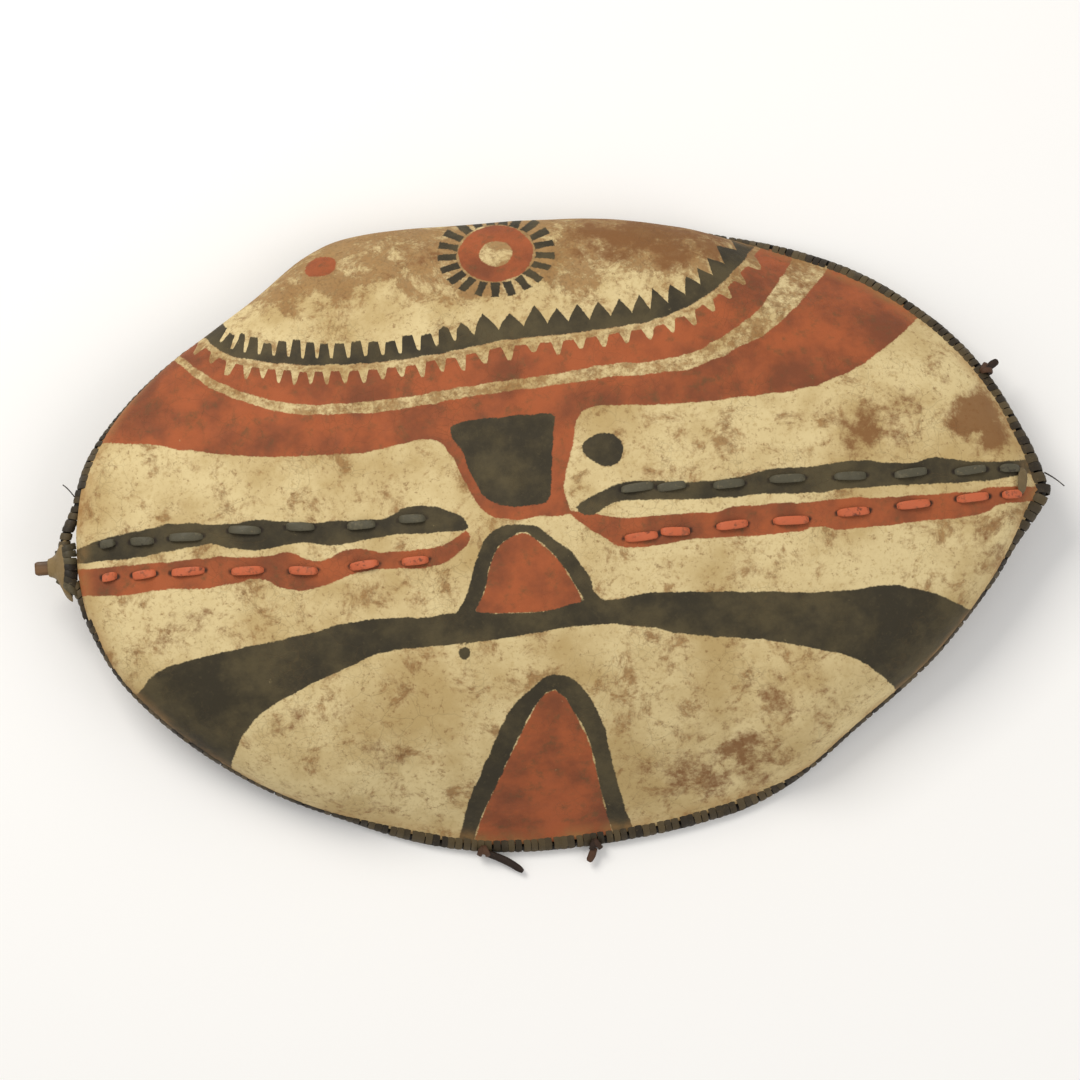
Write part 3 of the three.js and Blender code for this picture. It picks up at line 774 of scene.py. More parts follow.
@dataclass(frozen=True)
class StudioFloor:
    """A plain pale floor."""

    tint: tuple = colour(250, 250, 250)

    def material(self) -> bpy.types.Material:
        """Builds the material."""
        g = Graph("studio_floor")
        return g.done(self.tint, 0.9, 0.1)


# ---- Hide ---------------------------------------------------------------------------------


@dataclass
class PaintedDesign:
    """The painted design, laid out on a flat drawing of the shield seen from above its crown."""

    height: float = 3000.0
    lean: float = 6.0
    middle: tuple = (-21.5, -14.0, 60.0)
    band: tuple = (
        (-385, 262), (-340, 214), (-320, 197), (-295, 188), (-232, 178), (-168, 176), (-104, 180),
        (-40, 188), (27, 190), (78, 193), (113, 197), (156, 213), (185, 232), (215, 263),
        (240, 305),
    )
    teeth: tuple = (
        (0, -4.5), (66, 0), (151, 5.7), (199, 9), (269, 13), (341, 16.8), (412, 19.7),
        (513, 24.4), (581, 27.8), (626, 30.4), (700, 34),
    )
    red_lower: tuple = (
        (-500, 110), (-450, 116), (-404, 112), (-365, 103), (-303, 92), (-207, 87), (-175, 89),
        (-142, 94), (-117, 93), (-104, 78), (-87, 39), (-75, 18), (-54, 10), (-41, 7), (-21, 10),
        (-4, 8), (12, 12), (7, 28), (9, 49), (18, 75), (25, 103), (34, 113), (55, 115), (124, 111),
        (193, 113), (263, 118), (305, 132), (334, 148), (368, 174), (430, 230),
    )
    cream_line: tuple = (
        (-400, 225), (-365, 192), (-345, 174), (-323, 160), (-267, 138), (-204, 132), (-139, 134),
        (-75, 140), (8, 145), (58, 149), (123, 150), (162, 159), (194, 174), (220, 188), (246, 213),
        (268, 239), (290, 270),
    )
    cream_width: tuple = (
        (0, 3.0), (60, 4.0), (120, 4.5), (330, 5.5), (560, 6.5), (620, 9.0), (700, 15.0),
        (760, 20.0),
        (850, 24.0),
    )
    trapezoid: tuple = (
        (-102, 107), (-50, 112), (3, 111), (4, 108), (-1, 84), (-9, 27), (-29, 22), (-40, 21),
        (-62, 25), (-74, 34), (-85, 57), (-92, 80),
    )
    black_shapes: tuple = (
        (  # butt row, beside the spine
            (-540, 4), (-482, 14), (-462, 20), (-436, 25), (-410, 28), (-391, 31), (-365, 30),
            (-340, 26), (-301, 28), (-257, 22), (-228, 21), (-196, 20), (-171, 20), (-158, 28),
            (-141, 30), (-123, 27), (-104, 20), (-93, 10), (-92, 1), (-106, 1), (-150, 2),
            (-182, 1), (-230, -3), (-259, 2), (-291, -1), (-310, -1), (-329, 2), (-348, 7),
            (-367, 6), (-396, 3), (-422, 0), (-454, -1), (-540, -2),
        ),
        (  # tip row, beside the spine
            (16, 15), (31, 24), (51, 33), (66, 37), (94, 36), (128, 32), (183, 33), (204, 38),
            (232, 39), (259, 38), (281, 41), (308, 40), (335, 35), (359, 34), (377, 38), (394, 34),
            (428, 29), (469, 28), (520, 27), (520, 11), (458, 13), (427, 10), (358, 12), (289, 13),
            (254, 11), (219, 14), (150, 14), (81, 18), (61, 19), (40, 11), (30, 6),
        ),
        (  # broad arc
            (-490, -190), (-434, -135), (-422, -122), (-405, -113), (-382, -107), (-350, -101),
            (-285, -93), (-253, -88), (-226, -82), (-201, -80), (-140, -82), (-110, -80),
            (-37, -86), (28, -77), (43, -80), (71, -76), (99, -76), (161, -80), (229, -86),
            (271, -88), (319, -86), (343, -90), (366, -97), (386, -108), (420, -130), (460, -170),
            (370, -260), (339, -218), (320, -188), (305, -173), (289, -160), (269, -151),
            (242, -143), (208, -134), (174, -128), (139, -123), (106, -117), (82, -110), (55, -105),
            (21, -102), (-15, -105), (-63, -109), (-95, -111), (-159, -112), (-185, -113),
            (-207, -119), (-230, -129), (-257, -138), (-280, -149), (-304, -159), (-324, -174),
            (-337, -192), (-347, -214), (-370, -270), (-480, -260),
        ),
        (  # dark eye
            (69, 74), (66, 62), (55, 54), (42, 58), (30, 68), (28, 76), (36, 84), (50, 88),
            (62, 85),
        ),
        ((-99, -120), (-101, -127), (-108, -128), (-112, -121), (-109, -115), (-102, -114)),
    )
    red_shapes: tuple = (
        (  # butt row
            (-540, -4), (-480, -7), (-454, -7), (-419, -7), (-365, -6), (-333, -6), (-304, -9),
            (-279, -6), (-266, -9), (-250, -17), (-237, -17), (-221, -11), (-199, -8), (-183, -14),
            (-164, -14), (-126, -13), (-109, -7), (-92, 2), (-92, -10), (-103, -20), (-120, -30),
            (-146, -33), (-168, -31), (-191, -31), (-217, -35), (-239, -43), (-260, -46),
            (-279, -43), (-297, -33), (-313, -30), (-335, -34), (-367, -36), (-399, -34),
            (-435, -37), (-464, -35), (-540, -28),
        ),
        (  # tip row
            (3, 26), (14, 12), (30, 9), (63, 2), (98, 1), (132, 2), (153, 0), (181, 4), (236, 3),
            (288, 4), (323, 1), (391, 1), (422, 1), (436, 3), (520, -3), (520, -14), (442, -14),
            (435, -19), (407, -24), (338, -26), (302, -27), (275, -27), (255, -22), (233, -26),
            (165, -26), (130, -25), (103, -28), (75, -29), (54, -25), (42, -16), (28, -6),
            (10, 10), (0, 24),
        ),
        (  # the red eye at the upper edge
            (-204, 279), (-207, 270), (-218, 265), (-230, 267), (-235, 273), (-230, 281),
            (-219, 286), (-208, 284),
        ),
    )
    hut: tuple = (
        (-114, -96), (-110, -80), (-101, -67), (-95, -51), (-81, -17), (-72, -5), (-60, 2),
        (-41, 4),
        (-26, 1), (-10, -12), (9, -28), (18, -43), (26, -58), (29, -72), (37, -84), (-40, -98),
    )
    hut_red: tuple = (
        (-92, -80), (-81, -61), (-75, -40), (-65, -19), (-51, -9), (-39, -5), (-31, -8), (-14, -24),
        (-2, -39), (7, -56), (15, -73), (15, -82), (-13, -86), (-47, -85), (-84, -83),
    )
    arch: tuple = (
        (-152, -400), (-136, -346), (-124, -302), (-115, -273), (-98, -240), (-80, -206),
        (-62, -178), (-41, -161), (-32, -152), (-18, -149), (0, -154), (12, -167), (21, -185),
        (28, -206), (32, -234), (37, -262), (42, -287), (49, -311), (57, -361), (60, -400),
    )
    arch_red: tuple = (
        (-134, -400), (-120, -347), (-109, -304), (-99, -281), (-80, -247), (-62, -216),
        (-42, -183), (-28, -166), (-21, -163), (-9, -172), (2, -194), (12, -219), (17, -251),
        (22, -282), (27, -307), (37, -360), (42, -400),
    )
    sun: tuple = (-43, 275)
    sun_foreshortening: float = 0.74
    stains: tuple = (
        (102, 280, 70, 24, 0.75), (151, 266, 50, 22, 0.7), (55, 285, 40, 20, 0.6),
        (300, 210, 34, 24, 0.55), (262, 222, 26, 22, 0.55), (317, 72, 44, 30, 0.62),
        (353, 90, 30, 26, 0.5), (422, 78, 26, 22, 0.95), (440, 56, 20, 18, 0.8),
        (395, 120, 30, 30, 0.35), (-367, -68, 26, 20, 0.55), (-404, -88, 26, 18, 0.5),
        (-198, -216, 26, 20, 0.45), (-275, -175, 40, 20, 0.5), (109, -262, 60, 30, 0.55),
        (161, -246, 46, 34, 0.6), (195, -192, 30, 34, 0.5), (246, -186, 40, 26, 0.35),
        (336, -62, 40, 26, 0.35), (288, -40, 34, 14, 0.3), (427, -60, 30, 40, 0.5),
        (-340, 76, 60, 14, 0.3), (-200, 262, 60, 30, 0.3), (-110, 276, 50, 26, 0.45),
        (-430, 70, 36, 30, 0.2),
    )

    def plane(self, p: np.ndarray) -> np.ndarray:
        """Lays points of the shield out on the flat drawing."""
        lean = math.radians(self.lean)
        rel = p - np.array(self.middle)
        deep = self.height + rel[:, 1] * math.sin(lean) - rel[:, 2] * math.cos(lean)
        up = rel[:, 1] * math.cos(lean) + rel[:, 2] * math.sin(lean)
        grow = self.height / deep
        return np.stack([self.middle[0] + rel[:, 0] * grow, self.middle[1] + up * grow], axis=1)

    def shape(self, flat: np.ndarray, outline: tuple) -> np.ndarray:
        """Distance inside one painted shape with rounded corners."""
        return in_shape(flat, smooth_line(outline, 3 * len(outline) + 1, closed=True)[:-1])

    def paint(self, piece: bpy.types.Object, p: np.ndarray) -> None:
        """Writes the design onto the hide's points, in millimetres from each shape's edge.

        Args:
            piece: the hide.
            p: its points on the shield's own axis.
        """
        flat = self.plane(p)
        band = smooth_line(self.band, 120)
        along, off = from_line(flat, band)
        marks = np.array(self.teeth, float)
        count = np.interp(along, marks[:, 0], marks[:, 1])
        tone(piece, "band", np.stack([count, off, count * 0.94 + 0.35], axis=1))
        zone = np.vstack([band, [[330, 330], [460, 260]], smooth_line(self.red_lower, 160)[::-1],
                          [[-520, 120], [-450, 300]]])
        in_zone = in_shape(flat, zone)
        along, gap = from_line(flat, smooth_line(self.cream_line, 120))
        widths = np.array(self.cream_width, float)
        half = np.interp(along, widths[:, 0], widths[:, 1])
        red = np.minimum(in_zone, np.abs(gap) - half)
        for outline in self.red_shapes:
            red = np.maximum(red, self.shape(flat, outline))
        black = self.shape(flat, self.trapezoid)
        for outline in self.black_shapes:
            black = np.maximum(black, self.shape(flat, outline))
        for outer, inner in ((self.hut, self.hut_red), (self.arch, self.arch_red)):
            filled = self.shape(flat, inner)
            red = np.maximum(red, filled)
            black = np.maximum(black, np.minimum(self.shape(flat, outer), -filled))
        tone(piece, "red", np.clip(red, -30, 30))
        tone(piece, "red_zone", np.clip(in_zone, -30, 30))
        tone(piece, "black", np.clip(black, -30, 30))
        sun = (flat - np.array(self.sun)) / np.array([1.0, self.sun_foreshortening])
        tone(piece, "sun", np.column_stack([sun, np.zeros(len(sun))]))
        stain = np.zeros(len(flat))
        for x, y, wide, high, strong in self.stains:
            reach = ((flat[:, 0] - x) / wide) ** 2 + ((flat[:, 1] - y) / high) ** 2
            stain = np.maximum(stain, strong * np.exp(-0.5 * reach))
        tone(piece, "stain", stain)
        top = ease((flat[:, 1] - 215) / 40.0) * ease((flat[:, 0] + 330) / 60.0)
        tone(piece, "bare", 0.35 * top)


@dataclass
class HideShell:
    """The moulded hide: a painted outer face, a raw inner face and the cut edge between them."""

    shop: Workshop
    columns: int = 261
    rows: int = 101
    inner_every: int = 3
    dent: float = 1.6

    def surface(self, piece_points: np.ndarray, normals: np.ndarray) -> np.ndarray:
        """Adds slow dents and ripples to the face, none at its edge."""
        out = piece_points.copy()
        count, rows = out.shape[:2]
        for i in range(count):
            for j in range(rows):
                p = Vector(out[i, j])
                slow = noise.noise(p / 95.0) * self.dent + noise.noise(p / 34.0) * 0.5
                fade = min(1.0, (rows - 1 - j) / 8.0)
                out[i, j] += normals[i, j] * slow * fade
        return out

    def build(self) -> bpy.types.Object:
        """Models the shell from grids laid on both faces and merged at their edges."""
        faces, normals = self.shop.form.skins(self.columns, self.rows)
        thick = self.shop.form.thickness
        paint = PaintedHide().material()
        raw = RawHide().material()
        made = []
        for side in Side:
            n = normals[side]
            outer = self.surface(faces[side], n)
            rows = list(range(0, self.rows - 1, self.inner_every)) + [self.rows - 1]
            inner = faces[side][:, rows] - n[:, rows] * thick
            lip = np.stack([outer[:, -1] * (1 - t) + inner[:, -1] * t for t in
                            (0.0, 0.18, 0.5, 0.82, 1.0)], axis=1)
            swell = np.array([0.0, 0.7, 1.1, 0.7, 0.0])[None, :, None]
            lip += unit(outer[:, -1] - outer[:, -3])[:, None, :] * swell
            flip = side is Side.UPPER
            for name, points, turned, which in (("outer", outer, flip, 0), ("lip", lip, flip, 0),
                                                ("inner", inner, not flip, 1)):
                o = self.shop.grid(f"hide_{name}", points, turned)
                o.data.materials.append(paint)
                o.data.materials.append(raw)
                o.data.polygons.foreach_set("material_index", [which] * len(o.data.polygons))
                made.append(o)
        return self.shop.join("hide_shell", made)

    def dress(self, piece: bpy.types.Object, holes: np.ndarray) -> None:
        """Writes the painted design, the edge and the distance to the lacing holes, where the
        material paints shade for the holes, onto the points.
        """
        p = places(piece, self.shop)
        PaintedDesign().paint(piece, p)
        rim = np.vstack([self.shop.form.stations(s, 180)["edge"] for s in Side])
        away = np.full(len(p), 1e9)
        for start in range(0, len(p), 8000):
            part = p[start:start + 8000]
            away[start:start + 8000] = np.sqrt(
                ((part[:, None, :] - rim[None]) ** 2).sum(2).min(1))
        tone(piece, "edge", np.clip(away, 0, 60))
        # Distance to each lacing hole, which the material darkens as painted shade inside the hole.
        near = np.full(len(p), 1e9)
        for hole in holes:
            near = np.minimum(near, np.linalg.norm(p - hole, axis=1))
        tone(piece, "hole", np.clip(near, 0, 30))
        self.shop.finish(piece, None, "hide", ("hide",), smooth=60.0)


# ---- Rim ----------------------------------------------------------------------------------


@dataclass
class BoundRim:
    """The rim: a bundle of rods along the hide's edge with a flat thong wound round both."""

    shop: Workshop
    pitch: float = 7.6
    thong: float = 1.7
    bite: float = 7.5
    segments: int = 16

    def line(self) -> dict:
        """The rim's centre line once round, with the hide's turn beside it."""
        upper = self.shop.form.stations(Side.UPPER, 700)
        lower = self.shop.form.stations(Side.LOWER, 700)
        keys = ("centre", "out", "turn", "radius", "share")
        return {k: np.concatenate([upper[k], lower[k][1:-1][::-1]]) for k in keys}

    def core_rods(self, ring: dict) -> bpy.types.Object:
        """Two rods twisted round each other, seen only between the turns of thong."""
        points, faces = [], []
        centre = ring["centre"][::4]
        out = ring["out"][::4]
        up = np.array([0.0, 0.0, 1.0])
        count, sides = len(centre), 8
        for rod in (0.0, math.pi):
            base = len(points)
            for i in range(count):
                a = rod + i * 0.35
                middle = centre[i] + (out[i] * math.cos(a) + up * math.sin(a)) * 1.6
                for j in range(sides):
                    b = 2 * math.pi * j / sides
                    points.append(middle + (out[i] * math.cos(b) + up * math.sin(b)) * 3.0)
            for i in range(count):
                for j in range(sides):
                    k = (j + 1) % sides
                    here, there = base + i * sides, base + ((i + 1) % count) * sides
                    faces.append((here + j, here + k, there + k, there + j))
        return self.shop.mesh("rim_rods", np.array(points), faces)

    def turn_template(self) -> tuple:
        """One turn of thong as a flat ring: angle round, place across and height, with faces."""
        self.shop.deselect()
        bpy.ops.mesh.primitive_torus_add(major_segments=self.segments, minor_segments=6,
                                         major_radius=1.0, minor_radius=0.25)
        ring = bpy.context.object
        co = np.array([v.co for v in ring.data.vertices])
        faces = [tuple(f.vertices) for f in ring.data.polygons]
        bpy.data.objects.remove(ring)
        far = np.hypot(co[:, 0], co[:, 1])
        return np.arctan2(co[:, 1], co[:, 0]), co[:, 2] / 0.25, (far - 1.0) / 0.25, faces

    def build(self) -> bpy.types.Object:
        """Winds the thong: each turn goes over the rods and through the hide behind its edge."""
        rng = np.random.default_rng(SEED)
        ring = self.line()
        c = ring["centre"]
        walked = np.concatenate([[0.0], np.cumsum(np.linalg.norm(np.diff(
            np.vstack([c, c[:1]]), axis=0), axis=1))])
        angle, across, lift, faces = self.turn_template()
        points, all_faces, tones = [], [], []
        at = 0.0
        while at < walked[-1] - self.pitch * 0.4:
            i = int(np.searchsorted(walked, at)) % len(c)
            j = (i + 3) % len(c)
            tangent = unit(c[j] - c[i - 3])
            out, turn, radius = ring["out"][i], ring["turn"][i], ring["radius"][i]
            grown = radius / self.shop.form.rim_radius
            towards = -out * math.cos(turn) + np.array([0, 0, math.sin(turn)])
            towards = unit(towards - tangent * (towards @ tangent))
            side = np.cross(tangent, towards)
            wide = self.pitch * grown * rng.uniform(0.45, 0.53)
            slant = rng.uniform(0.16, 0.34)
            hug = rng.uniform(0.94, 1.06)
            reach_in = radius + self.shop.form.rim_gap + self.bite * rng.uniform(0.9, 1.1)
            reach_out = radius * 0.86 * hug
            if 1.0 - ring["share"][i] < 0.05:
                reach_in = radius + 1.2
            mid, long = (reach_in - reach_out) / 2, (reach_in + reach_out) / 2
            body = 0.5 + 0.5 * np.cos(angle)
            full = radius * 0.96
            over_hide = 4.3 if reach_in > radius + 2 else full
            thin = full * (1 - body) + over_hide * body
            h = mid + (long - self.thong / 2) * np.cos(angle)
            n = (thin - self.thong / 2) * np.sin(angle)
            normal_h, normal_n = np.cos(angle), np.sin(angle)
            flat = np.sign(across) * np.abs(across) ** 0.8
            t = flat * wide + slant * radius * np.sin(angle) * 0.9
            thick = lift * self.thong / 2 * 1.3
            p = (c[i] + tangent * t[:, None] + towards * (h + normal_h * thick)[:, None]
                 + side * (n + normal_n * thick)[:, None])
            base = len(points) * len(angle)
            points.append(p)
            all_faces.extend(tuple(v + base for v in f) for f in faces)
            tones.append(np.full(len(angle), rng.uniform(0.0, 1.0)))
            at += self.pitch * grown
        made = self.shop.mesh("rim_binding", np.vstack(points), all_faces)
        tone(made, "tone", np.concatenate(tones))
        return made

    def dress(self) -> None:
        """Builds and dresses the rods and the binding."""
        thong = DriedThong("rim_thong", colour(86, 72, 46), colour(38, 30, 18),
                           dust=colour(118, 100, 66)).material()
        dark = DriedThong("rim_rod", colour(60, 46, 30), colour(26, 20, 13)).material()
        ring = self.line()
        rods = self.core_rods(ring)
        tone(rods, "tone", np.zeros(len(rods.data.vertices)))
        self.shop.finish(rods, dark, "rim")
        self.shop.finish(self.build(), thong, "rim", ("rim",))


# ---- Spine --------------------------------------------------------------------------------


@dataclass
class Spine:
    """The wooden spine: a carved stave that bows out into the grip."""

    shop: Workshop
    thickness: float = 11.0
    tip: float = 464.0
    grip_centre: float = -36.0
    grip_half: float = 45.0
    grip_ramp: float = 52.0
    grip_drop: float = 40.0
    grip_thickness: float = 25.0
    grip_half_width: float = 14.0
    butt_half_width: float = 7.0
    butt_thickness: float = 10.0
    slack: float = 0.9
    clearance: float = 0.6  # between the stave and the hide
    dip: float = 0.0006  # how much the hide falls away beside the ridge, by the width squared
    leave: float = -438.0  # where the stave starts down towards the rim
    leave_length: float = 46.0

    def grip(self, x: float) -> float:
        """How far the grip stands off the hide, as a share."""
        return float(ease(1 - (abs(x - self.grip_centre) - self.grip_half) / self.grip_ramp))

    def half_width(self, x: float) -> float:
        """Half the spine's width."""
        (far, narrow), (near, wide) = (((-450, 11), (-100, 14.5)) if x < 0
                                       else ((450, 7.5), (100, 15.5)))
        t = min(1.0, max(0.0, (x - far) / (near - far)))
        plain = mix(narrow, wide, t**0.8)
        butt = float(ease((-450 - x) / 36))
        return mix(mix(plain, self.butt_half_width, butt), self.grip_half_width, self.grip(x))

    def middle(self) -> float:
        """The middle of the spine's box across the shield, on the shield's own axis."""
        xs = np.arange(BUTT_END, self.tip, 4.0)
        half = np.array([self.half_width(x) for x in xs])
        line = self.shop.form.ridge_y(xs)
        return float(((line - half).min() + (line + half).max()) / 2)

    def top(self, x: float) -> float:
        """Height of the spine's top, on the shield's axis."""
        rim = self.shop.form.stations(Side.UPPER, 35)
        under = rim["centre"][-1][2] - rim["radius"][-1] - self.slack

        def against(at: float) -> float:
            fall = self.dip * self.half_width(at) ** 2
            return (float(self.shop.form.ridge(np.array(at))) - self.shop.form.thickness
                    - self.clearance - fall - self.grip_drop * self.grip(at))
        if x > self.leave:
            end = max(0.0, x - 438)
            return against(x) - 0.004 * end**2
        return mix(against(self.leave), under, min(1.0, (self.leave - x) / self.leave_length))

    def depth(self, x: float) -> float:
        """Thickness of the spine."""
        plain = self.butt_thickness if x < -450 else self.thickness
        return mix(plain, self.grip_thickness, self.grip(x))

    def under(self, x: float) -> float:
        """Height of the spine's underside."""
        return self.top(x) - self.depth(x)

    def build(self) -> bpy.types.Object:
        """Lofts rounded sections along the spine, with the small flats that a knife leaves."""
        xs = np.concatenate([[BUTT_END, BUTT_END + 0.6, BUTT_END + 2.5],
                             np.arange(BUTT_END + 8, self.tip - 3, 6.0),
                             [self.tip - 1.5, self.tip - 0.3]])
        sides = 24
        points = []
        for x, line in zip(xs, self.shop.form.ridge_y(xs)):
            close = min(x - BUTT_END, self.tip - x)
            trim = 1.0 - 0.22 * max(0.0, 1 - close / 2.5) ** 2
            half, deep = self.half_width(x), self.depth(x)
            middle = self.top(x) - deep / 2
            power = mix(0.42, 0.8, self.grip(x))
            for j in range(sides):
                a = -2 * math.pi * (j + 0.5) / sides
                ca, sa = math.cos(a), math.sin(a)
                nick = 1 - 0.045 * abs(noise.noise(Vector((x / 26.0, ca * 1.4, sa * 1.4 + 7))))
                points.append((
                    x,
                    line + half * trim * nick * math.copysign(abs(ca) ** power, ca),
                    middle + deep / 2 * trim * nick * math.copysign(abs(sa) ** power, sa),
                ))
        faces = []
        for i in range(len(xs) - 1):
            for j in range(sides):
                k = (j + 1) % sides
                a, b = i * sides, (i + 1) * sides
                faces.append((a + j, b + j, b + k, a + k))
        faces.append(tuple(range(sides)))
        faces.append(tuple(reversed(range((len(xs) - 1) * sides, len(xs) * sides))))
        return self.shop.mesh("spine_stave", np.array(points), faces)

    def dress(self) -> None:
        """Builds and dresses the spine."""
        piece = self.build()
        x = places(piece, self.shop)[:, 0]
        handled = ease(1 - (np.abs(x - self.grip_centre) - 40) / 50)
        grime = 0.55 * handled + 0.45 * ease((-470 - x) / 25)
        tone(piece, "grime", grime)
        self.shop.finish(piece, SpineWood().material(), "spine", ("spine",), smooth=50.0)


# ---- Lacing -------------------------------------------------------------------------------


@dataclass
class Strap:
    """A flat thong with rounded edges, swept along a bent line."""

    sides: int = 10

    def sweep(self, line: np.ndarray, ways: np.ndarray, widths: np.ndarray,
              thick: np.ndarray) -> tuple:
        """Sweeps the section.

        Args:
            line: the thong's middle, in millimetres.
            ways: the way of its width at each point.
            widths: its width at each point.
            thick: its thickness at each point.

        Returns:
            The points and the faces.
        """
        along = unit(np.gradient(line, axis=0))
        side = unit(ways - along * (ways * along).sum(1, keepdims=True))
        up = np.cross(along, side)
        a = -2 * np.pi * (np.arange(self.sides) + 0.5) / self.sides
        wide = np.sign(np.cos(a)) * np.abs(np.cos(a)) ** 0.55
        high = np.sign(np.sin(a)) * np.abs(np.sin(a)) ** 0.8
        points = (line[:, None] + side[:, None] * (widths[:, None] / 2 * wide)[..., None]
                  + up[:, None] * (thick[:, None] / 2 * high)[..., None]).reshape(-1, 3)
        faces = []
        n = self.sides
        for i in range(len(line) - 1):
            for j in range(n):
                k = (j + 1) % n
                faces.append((i * n + j, (i + 1) * n + j, (i + 1) * n + k, i * n + k))
        faces.append(tuple(range(n)))
        faces.append(tuple(reversed(range((len(line) - 1) * n, len(line) * n))))
        return points, faces


@dataclass
class ThongBundle:
    """Straps gathered into one piece, each with a tone of its own."""

    points: list = field(default_factory=list)
    faces: list = field(default_factory=list)
    tones: list = field(default_factory=list)

    def add(self, swept: tuple, shade: float) -> None:
        """Adds one swept strap.

        Args:
            swept: the strap's points and faces.
            shade: its tone, from 0 to 1.
        """
        points, faces = swept
        start = sum(len(p) for p in self.points)
        self.points.append(points)
        self.faces.extend(tuple(v + start for v in face) for face in faces)
        self.tones.append(np.full(len(points), shade))

    def piece(self, shop: Workshop, name: str) -> bpy.types.Object:
        """The straps as one piece, their tones on its points."""
        made = shop.mesh(name, np.vstack(self.points), self.faces)
        tone(made, "tone", np.concatenate(self.tones))
        return made


@dataclass
class Lacing:
    """Two rows of flat stitches on the painted face, crossed behind the spine."""

    shop: Workshop
    spine: Spine
    width: float = 8.6
    leg: float = 4.6
    turn_width: float = 9.6  # of the thong that turns across the ridge
    thick: float = 2.3
    rest: float = 0.8
    lift: float = 1.5
    butt: tuple = (
        (-447, 15, 16.5), (-412, 24, 16.5), (-368, 34, 17), (-309, 32, 20), (-254, 28, 21.5),
        (-194, 28, 19.5), (-144, 26, 20.5),
    )
    tip: tuple = (
        (77, 33, 24), (110, 29, 22), (166, 31, 20), (224, 35, 20.5), (286, 32, 17.5),
        (346, 34, 15.5), (406, 33, 13.5), (446, 20, 12.5),
    )

    def __post_init__(self) -> None:
        """Prepares a height map of the hide near the spine."""
        faces, normals = self.shop.form.skins(161, 61)
        self._points = np.vstack([faces[s].reshape(-1, 3) for s in Side])
        self._normals = np.vstack([normals[s].reshape(-1, 3) for s in Side])

    def on_hide(self, x: float, y: float) -> tuple:
        """A place on the painted face, y from the ridge line, and the face's normal."""
        y = y + float(self.shop.form.ridge_y(x))
        d2 = ((self._points[:, :2] - (x, y)) ** 2).sum(1)
        near = np.argsort(d2)[:6]
        weight = 1 / (d2[near] + 0.5)
        weight /= weight.sum()
        normal = unit((self._normals[near] * weight[:, None]).sum(0))
        base = (self._points[near] * weight[:, None]).sum(0)
        z = base[2] - (normal[0] * (x - base[0]) + normal[1] * (y - base[1])) / max(normal[2], 0.2)
        return np.array([x, y, z]), normal

    def rows(self, half: Half) -> tuple:
        """The stitches of one half."""
        return self.butt if half is Half.BUTT else self.tip

    def holes(self) -> np.ndarray:
        """Every hole that the thongs use, on the painted face."""
        out = []
        for half in Half:
            for middle, length, row in self.rows(half):
                for sign in (1, -1):
                    for end in (-1, 1):
                        out.append(self.on_hide(middle + end * length / 2, sign * row)[0])
        return np.array(out)

    def stitch(self, middle: float, length: float, y: float, rng: np.random.Generator) -> tuple:
        """One stitch on the painted face, both ends bent down through the hide."""
        line, ways, widths, thick = [], [], [], []
        _, up = self.on_hide(middle, y)
        twist = rng.uniform(-0.28, 0.28)
        skew = rng.uniform(-1.2, 1.2)
        across = unit(np.array([0.0, up[2], -up[1]]))
        for t in np.linspace(-1, 1, 17):
            x = middle + t * (length / 2 - 0.6)
            p, n = self.on_hide(x, y + skew * t)
            over = (1 - abs(t) ** 5.0)
            rise = self.lift * over * (1 - 0.35 * t * t) - 0.9 * (1 - over)
            p = p + n * (self.rest + self.thick / 2 + rise)
            if abs(t) > 0.999:
                p = p - n * 2.6
            line.append(p)
            lean = twist * math.sin(t * 2.2)
            ways.append(across * math.cos(lean) + n * math.sin(lean))
            widths.append(mix(self.leg, self.width, math.sqrt(max(0.0, 1 - abs(t) ** 3.2))))
            thick.append(self.thick)
        return Strap(12).sweep(np.array(line), np.array(ways), np.array(widths), np.array(thick))

    def face_stitches(self, half: Half, sign: int, rng: np.random.Generator) -> bpy.types.Object:
        """One row of stitches as one piece."""
        bundle = ThongBundle()
        for middle, length, row in self.rows(half):
            bundle.add(self.stitch(middle, length, sign * row, rng), rng.uniform(0, 1))
        side = "upper" if sign > 0 else "lower"
        return bundle.piece(self.shop, f"stitches_{half.value}_{side}")

    def crossing(self, start: np.ndarray, end: np.ndarray, bow: float) -> tuple:
        """A thong that comes down through the hide, crosses behind the spine and goes up."""
        under_a = self.spine.under(start[0]) - 1.6
        under_b = self.spine.under(end[0]) - 1.6
        foot_a = np.array([start[0], start[1], under_a])
        foot_b = np.array([end[0], end[1], under_b])
        legs = 6
        line = [start + (foot_a - start) * t for t in np.linspace(0, 1, legs)[:-1]]
        for t in np.linspace(0, 1, 11):
            p = foot_a + (foot_b - foot_a) * t
            p = p - np.array([0, 0, 1]) * (bow * math.sin(math.pi * t) + 0.4)
            line.append(p)
        line += [foot_b + (end - foot_b) * t for t in np.linspace(0, 1, legs)[1:]]
        line = np.array(line)
        for _ in range(2):
            line[1:-1] = 0.25 * line[:-2] + 0.5 * line[1:-1] + 0.25 * line[2:]
        ways = np.tile(np.array([1.0, 0.0, 0.0]), (len(line), 1))
        widths = np.full(len(line), 5.2)
        return Strap(8).sweep(line, ways, widths, np.full(len(line), 2.0))

    def back(self, half: Half, rng: np.random.Generator) -> bpy.types.Object:
        """All the crossings of one half behind the spine, and its turn at the end."""
        rows = self.rows(half)
        bundle = ThongBundle()

        def mouth(k: int, end: int, sign: int) -> np.ndarray:
            middle, length, row = rows[k]
            p, n = self.on_hide(middle + end * (length / 2 - 0.6), sign * row)
            return p - n * 2.0

